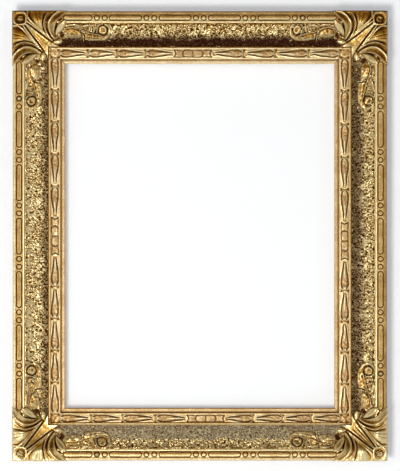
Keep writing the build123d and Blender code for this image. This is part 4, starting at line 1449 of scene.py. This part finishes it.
    def sheet(self, name: str) -> Sheet:
        """Lays the carved surface over the corner, sunk into the mouldings where it has no carving.

        Args:
            name: Name of the piece, which holds the corner's.

        Returns:
            The sheet, which closes to a shell.
        """
        hand_x, hand_z = self.handedness[name.removeprefix("corner_ornament_").removesuffix("_gilt")]
        seed = self.first_seed + self.seed_step * list(self.handedness.values()).index((hand_x, hand_z))
        count = math.ceil((self.reach + self.bulge) / self.step)
        line = np.linspace(-self.bulge, self.reach, count + 1)
        x, y = np.meshgrid(line, line)
        inward = np.minimum(x, y)
        out = LAYOUT.rail_width - inward
        plain = LAYOUT.ground(out)
        cove_end = LAYOUT.cove_end_out - 1
        over_step = np.interp(out, (cove_end, LAYOUT.channel_start), (0.0, 1.0))
        skin = LAYOUT.cove_height(np.clip(out, LAYOUT.sight_moulding_width, cove_end)) + self.skin
        ground = skin * (1 - over_step) + (LAYOUT.fillet_height + self.rise) * over_step
        ground = blurred(blurred(ground, self.bridge_steps), self.bridge_steps)
        ground += self.mitre_slope * np.clip(inward - 14, -16, 12)
        ground += 0.35 * lattice_noise(x, y, 9.0, seed)
        mirrored = [(second, first) for first, second in reversed(self.outline)]
        covered = inside_outline(x, y, [*self.outline, *mirrored])
        height = np.where(covered, ground, plain - self.sunk)
        grime_and_shade = np.zeros(x.shape)
        for group in (
            self.lobes, self.flutes, self.ribs, self.leaf, self.undercuts, self.bud, self.wedge,
            self.wedge_rims, self.wedge_grooves, self.button,
        ):
            for stroke in group:
                # Painted light: below the wedge the grooves keep less of their dark, as if lit from below
                share = self.pale_share if group is self.wedge_grooves else 1.0
                lit_stroke = replace(stroke, grime_and_shade=share * stroke.grime_and_shade)
                upper, lower = (stroke, lit_stroke) if hand_z > 0 else (lit_stroke, stroke)
                upper.carve(x, y, ground, height, grime_and_shade)
                lower.swapped().carve(x, y, ground, height, grime_and_shade)
        if self.reeded in name:
            for stroke in self.reeds:
                for form in (stroke, stroke.swapped()):
                    form.carve(x, y, ground, height, grime_and_shade)
        for near_x, near_y in (self.hollow_place, self.hollow_place[::-1]):
            gap = np.hypot(x - near_x, y - near_y) + 1.6 * lattice_noise(x, y, 6.0, seed + 4)
            pool = (gap < self.hollow_radius) & (height < plain)
            height = np.where(pool, plain + 0.5, height)
            grime_and_shade = np.where(pool, 0.55 + 0.45 * smoothstep((self.hollow_radius - gap) / 4), grime_and_shade)
        self.boss(x, y, height, grime_and_shade, seed + 3)
        # The sight moulding's outer edge cuts the wedge off
        inner_edge = LAYOUT.rail_width - LAYOUT.sight_moulding_width
        height = np.where(inward > inner_edge + 0.4, plain - self.sunk, height)
        rough = 0.16 * lattice_noise(x, y, 2.2, seed + 1) + 0.3 * lattice_noise(x, y, 4.5, seed + 2)
        height += np.where((height > plain) & (height < 60.5), rough, 0)
        # The outer edge rolls over, and the border lies on the skirt's line
        edge = np.clip((inward + self.bulge) / self.edge_roll_width, 0, 1)
        height -= np.where(height > plain, self.edge_roll * (1 - np.sqrt(1 - (1 - edge) ** 2)), 0)
        height -= self.crest_share * np.clip(height - self.crest_limit, 0, None)
        marks = np.zeros((*x.shape, 4))
        boss = np.hypot(x - self.boss_place, y - self.boss_place) < self.boss_radius
        # Painted shade on the top corners and painted light on the bottom ones
        corner_painted_light_and_shade = (self.top_tone if hand_z > 0 else self.bottom_tone) * smoothstep((30 - inward) / 10)
        wear_and_painted_light = 1.15 * hollowness(np.maximum(height, plain - 1.0), 4, 2.8) - 0.12 + corner_painted_light_and_shade + 0.12 * boss
        wedge = smoothstep((6.0 + 0.16 * (x + y) - np.abs(x - y)) / 3.0) * (x + y > 56)
        marks[..., HOLLOW_AND_PAINTED_LIGHT] = np.clip(np.clip(wear_and_painted_light, 0, 1) + 0.04 * wedge, 0, 1)
        marks[..., GRIME_AND_SHADE] = grime_and_shade
        # The sheet's far corner is drawn in under the sight moulding, clear of the opening
        excess = 0.97 * np.clip(inward - (inner_edge + 2), 0, None)
        world_x = hand_x * (LAYOUT.sight_width / 2 + LAYOUT.rail_width - x + excess)
        world_z = hand_z * (LAYOUT.sight_height / 2 + LAYOUT.rail_width - y + excess)
        return Sheet(name, np.stack((world_x, -height, world_z), axis=-1) * MM, marks, Closing.SHELL)


@dataclass
class ScrollSpray:
    """Foliage in the cove beside a corner: bulbous leaf, sprigs, S-stem and volute.

    Places are the distance from the frame's outer corner and the distance out from the sight edge.
    """

    side: Side
    end: int
    first_seed: int = 300
    seed_step: int = 20
    first: float = 103.0
    last: float = 197.0
    inner: float = 36.0
    outer: float = 79.0
    step: float = 0.8
    skin: float = 0.9
    sunk: float = 3.0
    forms: tuple[Stroke, ...] = (
        Stroke(((106, 61, 4, 2.6), (113, 62, 8.4, 5.4), (122, 61.5, 9.0, 6.0), (131, 59, 6.0, 4.8),
                (137, 56, 2.0, 2.6))),
        Stroke(((103.5, 64, 1.1, 4.0), (109, 70, 1.5, 5.8), (119, 71.6, 1.5, 6.0), (129, 69.5, 1.3, 5.0),
                (135, 67, 0.9, 3.8))),
        Stroke(((115, 76.3, 2.0, 3.4), (125, 76.6, 2.6, 4.4), (135, 75.2, 1.6, 3.4))),
        Stroke(((137, 73.2, 1.4, 3.0), (146, 75.0, 2.9, 4.0), (157, 76.4, 1.4, 2.8))),
        Stroke(((147, 55.5, 7.6, 4.6), (158, 54.0, 8.2, 5.6), (169, 53.2, 7.6, 5.6),
                (180, 52.8, 6.2, 5.0), (190, 55.5, 4.6, 4.4), (195.4, 64, 3.2, 4.0),
                (193.4, 73.5, 2.4, 3.6), (186, 78.2, 1.6, 3.0))),
        Stroke(((135, 68.4, 1.2, 5.0), (142, 65.4, 1.5, 6.6), (149, 62.0, 1.5, 7.0),
                (161, 59.6, 1.5, 7.2), (172, 57.2, 1.9, 7.4), (181, 56.2, 2.4, 7.4),
                (188.6, 59.4, 2.5, 7.0), (191.6, 66.4, 1.7, 5.6))),
        Stroke(((150.5, 63, 1.6, 4.0), (154, 67.5, 2.5, 5.4), (153.5, 73, 1.2, 3.8))),
        Stroke(((161, 61.5, 1.8, 4.8), (163.5, 68, 2.6, 6.0), (163, 75.5, 1.4, 4.4))),
        Stroke(((168.5, 62, 1.2, 4.4), (169.5, 70, 1.9, 5.4), (173.5, 77, 1.6, 5.0),
                (182, 79, 1.0, 4.0))),
        Stroke(((141.5, 46, 1.2, 2.6), (141, 53, 1.3, 3.6), (139, 60, 1.2, 3.8))),
        Stroke(((190, 49, 1.2, 2.6), (195, 46.4, 1.5, 2.8), (200, 45.6, 0.8, 2.0))),
    )
    veins: tuple[Stroke, ...] = (
        Stroke(((109, 63, 0.9, 0.6), (119, 65.5, 1.1, 1.0), (128, 63, 0.8, 0.5)), Section.GROOVE, 0.2),
        Stroke(((112, 56, 0.9, 0.5), (121, 57.0, 1.1, 0.9), (129, 56, 0.8, 0.5)), Section.GROOVE, 0.2),
        Stroke(((134, 66.4, 1.0, 1.6), (139.5, 62.5, 1.4, 2.6), (143.5, 55, 1.5, 3.0),
                (143.5, 47.5, 1.2, 2.4)), Section.GROOVE, 0.85),
        Stroke(((151, 53, 0.9, 0.6), (164, 50.2, 1.2, 1.0), (178, 49.6, 0.9, 0.6)), Section.GROOVE, 0.2),
        Stroke(((168, 55.4, 1.6, 2.4), (171, 54.8, 1.6, 2.4)), Section.GROOVE, 0.9),
        Stroke(((187, 49, 1.2, 2.4), (196.5, 54, 1.5, 3.0), (200, 64, 1.5, 3.0), (197.5, 74, 1.2, 2.4)),
               Section.GROOVE, 0.8),
    )
    volute: tuple[float, float] = (181.0, 66.8)
    disc_radius: float = 8.8
    disc_rise: float = 4.6
    moat_depth: float = 1.5
    drift: float = 1.3
    slip: float = 1.1
    # Painted shade by side: the sprays are drawn darkest on the top, then the right, then the left, and
    # palest on the bottom
    tone: dict[Side, float] = per_side(0.20, -0.04, 0.02, 0.10)
    # Grime on the top side and dust on the bottom, each partly painted shade, over the half of the cove that
    # lies towards the sight edge
    top_grime_and_shade: float = 0.62
    bottom_dust_and_shade: float = 0.45

    def scroll(self, along: Array, out: Array, ground: Array, height: Array, grime_and_shade: Array) -> None:
        """Winds the volute round its disc, which is sunk behind the spray's stem.

        Args:
            along: Distance from the outer corner.
            out: Distance from the sight edge.
            ground: Height that forms rise from.
            height: Height so far, which is changed.
            grime_and_shade: Grime and painted shade so far, which is changed.
        """
        centre_along, centre_out = self.volute
        gap = np.hypot(along - centre_along, out - centre_out)
        turn = np.arctan2(out - centre_out, along - centre_along)
        # The dark gap round the disc is deep towards the corner and shallow away from it
        shade = np.interp(np.abs(turn), (0.4, 1.2, 2.0, 2.8), (0.8, 0.1, 0.1, 0.8))
        moat = np.exp(-(((gap - self.disc_radius - 0.7) / 1.0) ** 2)) * (out > centre_out - 7) * shade
        height[:] = np.where(gap < self.disc_radius + 2.2, np.maximum(height - 3, ground), height)
        share = np.clip(gap / self.disc_radius, 0, 1)
        # One shallow turn winds in from the disc's edge to its eye
        wound = np.cos(turn - 2.6 - 4.2 * share) * smoothstep(share / 0.4) * (1 - share**4)
        disc = ground + self.disc_rise * (1 - share**6) ** 0.5 - 0.6 * (1 - share) + 0.6 * wound
        height[:] = np.where(gap < self.disc_radius, disc, height - self.moat_depth * moat)
        grime_and_shade[:] = np.maximum(grime_and_shade, 0.55 * moat)
        grime_and_shade[:] = np.where(gap < self.disc_radius, 0.30, grime_and_shade)

    def sheet(self, name: str) -> Sheet:
        """Lays the foliage on the cove, sunk into it where there is none.

        Args:
            name: Name of the piece.

        Returns:
            The sheet, which closes to a shell.
        """
        seed = self.first_seed + self.seed_step * self.side.number + self.end
        from_corner = np.linspace(self.first, self.last, math.ceil((self.last - self.first) / self.step))
        across = np.linspace(self.inner, self.outer, math.ceil((self.outer - self.inner) / self.step))
        along, out = np.meshgrid(from_corner, across)
        # Slow drifts of the pattern keep the sprays from being alike
        drift = along + self.drift * lattice_noise(along, out, 21.0, seed)
        slip = out + self.slip * lattice_noise(along, out, 17.0, seed + 1)
        plain = LAYOUT.cove_height(out)
        ground = plain + self.skin
        height = plain - self.sunk
        grime_and_shade = np.zeros(along.shape)
        for stroke in (*self.forms, *self.veins):
            stroke.carve(drift, slip, ground, height, grime_and_shade)
        self.scroll(drift, slip, ground, height, grime_and_shade)
        rough = 0.35 * lattice_noise(along, out, 2.2, seed + 2) + lattice_noise(along, out, 4.6, seed + 3)
        height += np.where(height > plain, rough, 0)
        border = np.minimum.reduce((
            along - self.first, self.last - along, out - self.inner, self.outer - out
        ))
        height = np.where(border < 0.5 * self.step, plain - self.sunk, height)
        marks = np.zeros((*along.shape, 4))
        # Painted shade by side, from the tone
        wear_and_painted_light = 1.5 * hollowness(np.maximum(height, plain), 3, 2.2) - 0.34 + self.tone[self.side]
        marks[..., HOLLOW_AND_PAINTED_LIGHT] = np.clip(wear_and_painted_light, 0, 1)
        marks[..., GRIME_AND_SHADE] = grime_and_shade
        # Grime on the top and dust on the bottom, each partly painted shade
        inner = smoothstep((62 - out) / 16 + 0.5 + 0.3 * lattice_noise(along, out, 6.0, seed + 4))
        if self.side is Side.TOP:
            marks[..., GRIME_AND_SHADE] = np.maximum(grime_and_shade, self.top_grime_and_shade * inner)
        if self.side is Side.BOTTOM:
            marks[..., DUST_AND_SHADE] = self.bottom_dust_and_shade * inner
        place = LAYOUT.place(
            self.side, self.end * (LAYOUT.half_length(self.side) + LAYOUT.rail_width - along), out, height
        )
        return Sheet(name, place, marks, Closing.SHELL, skirt=1.0, apex_drop=9.0)


# Back and hardware


@dataclass
class BackAndHardware:
    """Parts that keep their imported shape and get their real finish."""

    pine: tuple[str, str] = ("#B98F5A", "#8A5F36")
    beech: tuple[str, str] = ("#C79E72", "#A97C50")

    def dress(self) -> None:
        """Gives every kept part its material."""
        # Old bare pine is dull and brown, with dark rings that run along each length
        along_rail = SawnWood("aged_planed_pine_rail", *self.pine, along=Side.TOP).material()
        along_stile = SawnWood("aged_planed_pine_stile", *self.pine, along=Side.LEFT).material()
        # Beech is denser: paler, with closer rings and a slight sheen
        beech = SawnWood("planed_beech", *self.beech, along=Side.TOP, ring_mm=1.5, roughness=0.6).material()
        # Zinc plating is a cool grey metal with a soft, clouded sheen
        steel = PlainFinish(
            "zinc_plated_steel", "#C9CCCB", "#A7ABAC", mottle_mm=2.0, metallic=1.0, roughness=0.34
        ).material()
        # Moulded rubber is nearly black and matt
        rubber = PlainFinish(
            "moulded_rubber", "#3A3936", "#292826", mottle_mm=1.2, metallic=0.0, roughness=0.78
        ).material()
        finishes = {
            "back_rail": along_rail, "back_stile": along_stile, "mitre_keys": beech, "bumper": rubber,
            "hanger": steel, "turn_button": steel, "lap_screws": steel, "moulding_screws": steel,
        }
        for name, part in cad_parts.items():
            finish = next((finishes[key] for key in finishes if name.startswith(key)), None)
            if finish is None:
                continue
            for material_slot in part.material_slots:
                material_slot.material = finish
            log.info("%s: %s", name, finish.name)


# Studio


@dataclass
class Studio:
    """Pale wall and floor, soft lamps, and the camera at the photograph's viewing angle."""

    wall_place: float = 0.0006
    floor_height: float = -1.6
    wall_size: float = 9.0
    floor_size: float = 60.0
    surface_colour: str = "#F4F4F2"
    glow_colour: str = "#F0F6FF"
    surface_glow: float = 0.30
    floor_glow: float = 0.55
    horizon_light: float = 0.92
    upper_light: float = 0.06
    upper_start: float = 0.50
    focal: float = 180.0
    sensor_width: float = 36.0
    camera_place: tuple[float, float, float] = (0.0003, -4.812, 0.0008)
    # Name, place, width and height, and power of each lamp, which looks at the frame's middle
    lamps: tuple[tuple[str, tuple[float, float, float], tuple[float, float], float], ...] = (
        ("key", (-0.85, -3.9, -0.85), (0.8, 0.8), 82.0),
        ("back", (-1.2, 3.4, 1.4), (2.4, 2.4), 50.0),
    )

    def surface(self, name: str, camera_glow: float) -> Material:
        """Pale matt paint that shows white to the camera, keeps shadows, and is open from behind.

        Args:
            name: Name of the finish.
            camera_glow: Light that only the camera sees, added to what every view has.

        Returns:
            The material.
        """
        material, tree, shader, _ = blank_material(name)
        shader.inputs["Base Color"].default_value = linear(self.surface_colour)
        shader.inputs["Roughness"].default_value = 0.95
        shader.inputs["Specular IOR Level"].default_value = 0.0
        rays = add_node(tree, "ShaderNodeLightPath")
        seen = add_node(
            tree, "ShaderNodeMath",
            {0: rays.outputs["Is Camera Ray"], 1: rays.outputs["Is Glossy Ray"]}, operation="MAXIMUM",
        )
        seen = add_node(
            tree, "ShaderNodeMath",
            {0: seen.outputs[0], 1: rays.outputs["Is Transmission Ray"]}, operation="MAXIMUM",
        )
        shown = add_node(
            tree, "ShaderNodeMath", {0: rays.outputs["Is Camera Ray"], 1: camera_glow}, operation="MULTIPLY"
        )
        glow = add_node(
            tree, "ShaderNodeMath", {0: seen.outputs[0], 1: self.surface_glow, 2: shown.outputs[0]},
            operation="MULTIPLY_ADD",
        )
        light = add_node(
            tree, "ShaderNodeEmission", {"Color": linear(self.glow_colour), "Strength": glow.outputs[0]}
        )
        both = add_node(tree, "ShaderNodeAddShader", {0: shader.outputs[0], 1: light.outputs[0]})
        clear = add_node(tree, "ShaderNodeBsdfTransparent")
        facing = add_node(tree, "ShaderNodeNewGeometry")
        mixed = add_node(
            tree, "ShaderNodeMixShader",
            {0: facing.outputs["Backfacing"], 1: both.outputs[0], 2: clear.outputs[0]},
        )
        tree.links.new(mixed.outputs[0], tree.nodes["Material Output"].inputs["Surface"])
        return material

    def stage(self) -> None:
        """Adds the wall behind the frame and the floor far below it."""
        half = self.wall_size / 2
        upright = (math.radians(90), 0, 0)
        for name, size, place, turn, camera_glow in (
            ("wall", self.wall_size, (0, self.wall_place, half + self.floor_height), upright, 0.0),
            ("floor", self.floor_size, (0, 0, self.floor_height), (0, 0, 0), self.floor_glow),
        ):
            bpy.ops.object.select_all(action="DESELECT")
            bpy.ops.mesh.primitive_plane_add(size=size, location=place, rotation=turn)
            surface = bpy.context.object
            surface.name = name
            surface.data.materials.append(self.surface(f"matt_white_{name}_paint", camera_glow))
            if name == "wall":
                surface.visible_shadow = False
                surface.visible_diffuse = False

    def light(self) -> None:
        """Adds the lamps, and a world that is pale at the horizon and dimmer overhead."""
        for name, place, (width, height), power in self.lamps:
            bpy.ops.object.light_add(type="AREA", location=place)
            lamp = bpy.context.object
            lamp.name = f"lamp_{name}"
            lamp.data.shape = "RECTANGLE"
            lamp.data.size, lamp.data.size_y = width, height
            lamp.data.energy = power
            lamp.rotation_euler = (-lamp.location).to_track_quat("-Z", "Y").to_euler()
        world = bpy.data.worlds.new("studio")
        bpy.context.scene.world = world
        world.use_nodes = True
        tree = world.node_tree
        direction = add_node(tree, "ShaderNodeTexCoord")
        parts = add_node(tree, "ShaderNodeSeparateXYZ", {0: direction.outputs["Generated"]})
        strength = add_node(
            tree, "ShaderNodeMapRange",
            {"Value": parts.outputs["Z"], "From Max": self.upper_start,
             "To Min": self.horizon_light, "To Max": self.upper_light},
        )
        rays = add_node(tree, "ShaderNodeLightPath")
        seen = add_node(
            tree, "ShaderNodeMath",
            {0: strength.outputs[0], 1: rays.outputs["Is Camera Ray"]}, operation="MAXIMUM",
        )
        background = tree.nodes["Background"]
        background.inputs["Color"].default_value = (1, 1, 1, 1)
        tree.links.new(seen.outputs[0], background.inputs["Strength"])

    def camera(self) -> None:
        """Adds the camera, square on to the frame."""
        data = bpy.data.cameras.new("camera")
        data.lens = self.focal
        data.sensor_width = self.sensor_width
        camera = bpy.data.objects.new("camera", data)
        camera.location = self.camera_place
        camera.rotation_euler = (math.radians(90), 0, 0)
        bpy.context.collection.objects.link(camera)
        bpy.context.scene.camera = camera
        bpy.context.scene.view_settings.view_transform = "Standard"


def build_mouldings(leaved: Material, wood: Material, composition: Material) -> None:
    """Builds and dresses the three lengths of moulding on every side.

    Args:
        leaved: Finish of the gilded wood at the sight edge.
        wood: Finish of the gilded wood of the coves.
        composition: Finish of the gilded bead strips.
    """
    for side in Side:
        for kind, slot, finish, name in (
            (SightMoulding(side), "gilded_wood", leaved, "sight_moulding"),
            (CoveMoulding(side), "gilded_wood", wood, "cove_moulding"),
            (BeadStrip(side), "gilded_composition", composition, "bead_strip"),
        ):
            node = f"{name}_{side.label}"
            dress(kind.sheet(f"{node}_gilt").build(), node, finish)


def build_ornaments(composition: Material) -> None:
    """Builds and dresses the corner ornaments and the sprays beside them.

    Args:
        composition: Finish of the gilded composition.
    """
    ornament = CornerOrnament()
    for name in ornament.handedness:
        node = f"corner_ornament_{name}"
        dress(ornament.sheet(f"{node}_gilt").build(), node, composition)
    ends = {
        Side.TOP: {-1: "left", 1: "right"},
        Side.BOTTOM: {1: "left", -1: "right"},
        Side.LEFT: {1: "upper", -1: "lower"},
        Side.RIGHT: {-1: "upper", 1: "lower"},
    }
    for side, names in ends.items():
        for end, name in names.items():
            node = f"scroll_spray_{side.label}_{name}"
            spray = ScrollSpray(side, end)
            dress(spray.sheet(f"{node}_gilt").build(), node, composition)


def main() -> None:
    """Builds the frame's pieces in order, then the studio."""
    # The sight moulding is handled most: its gold is rubbed to the clay, which leaves it pink and paler
    leaved = AgedGilding(
        "rubbed_gilded_wood", crest="#EBD9AC", leaf="#C49E60", dust="#C09670", wash="#5C3C10",
        speckle_mm=2.6, crest_roughness=0.42,
    ).material()
    # The coves and the moulded composition look alike: warm gold on the crests and brown in the hollows
    wood = AgedGilding("water_gilded_wood").material()
    composition = AgedGilding("gilded_composition").material()
    build_mouldings(leaved, wood, composition)
    build_ornaments(composition)
    BackAndHardware().dress()
    studio = Studio()
    studio.stage()
    studio.light()
    studio.camera()


if __name__ == "__main__":
    main()
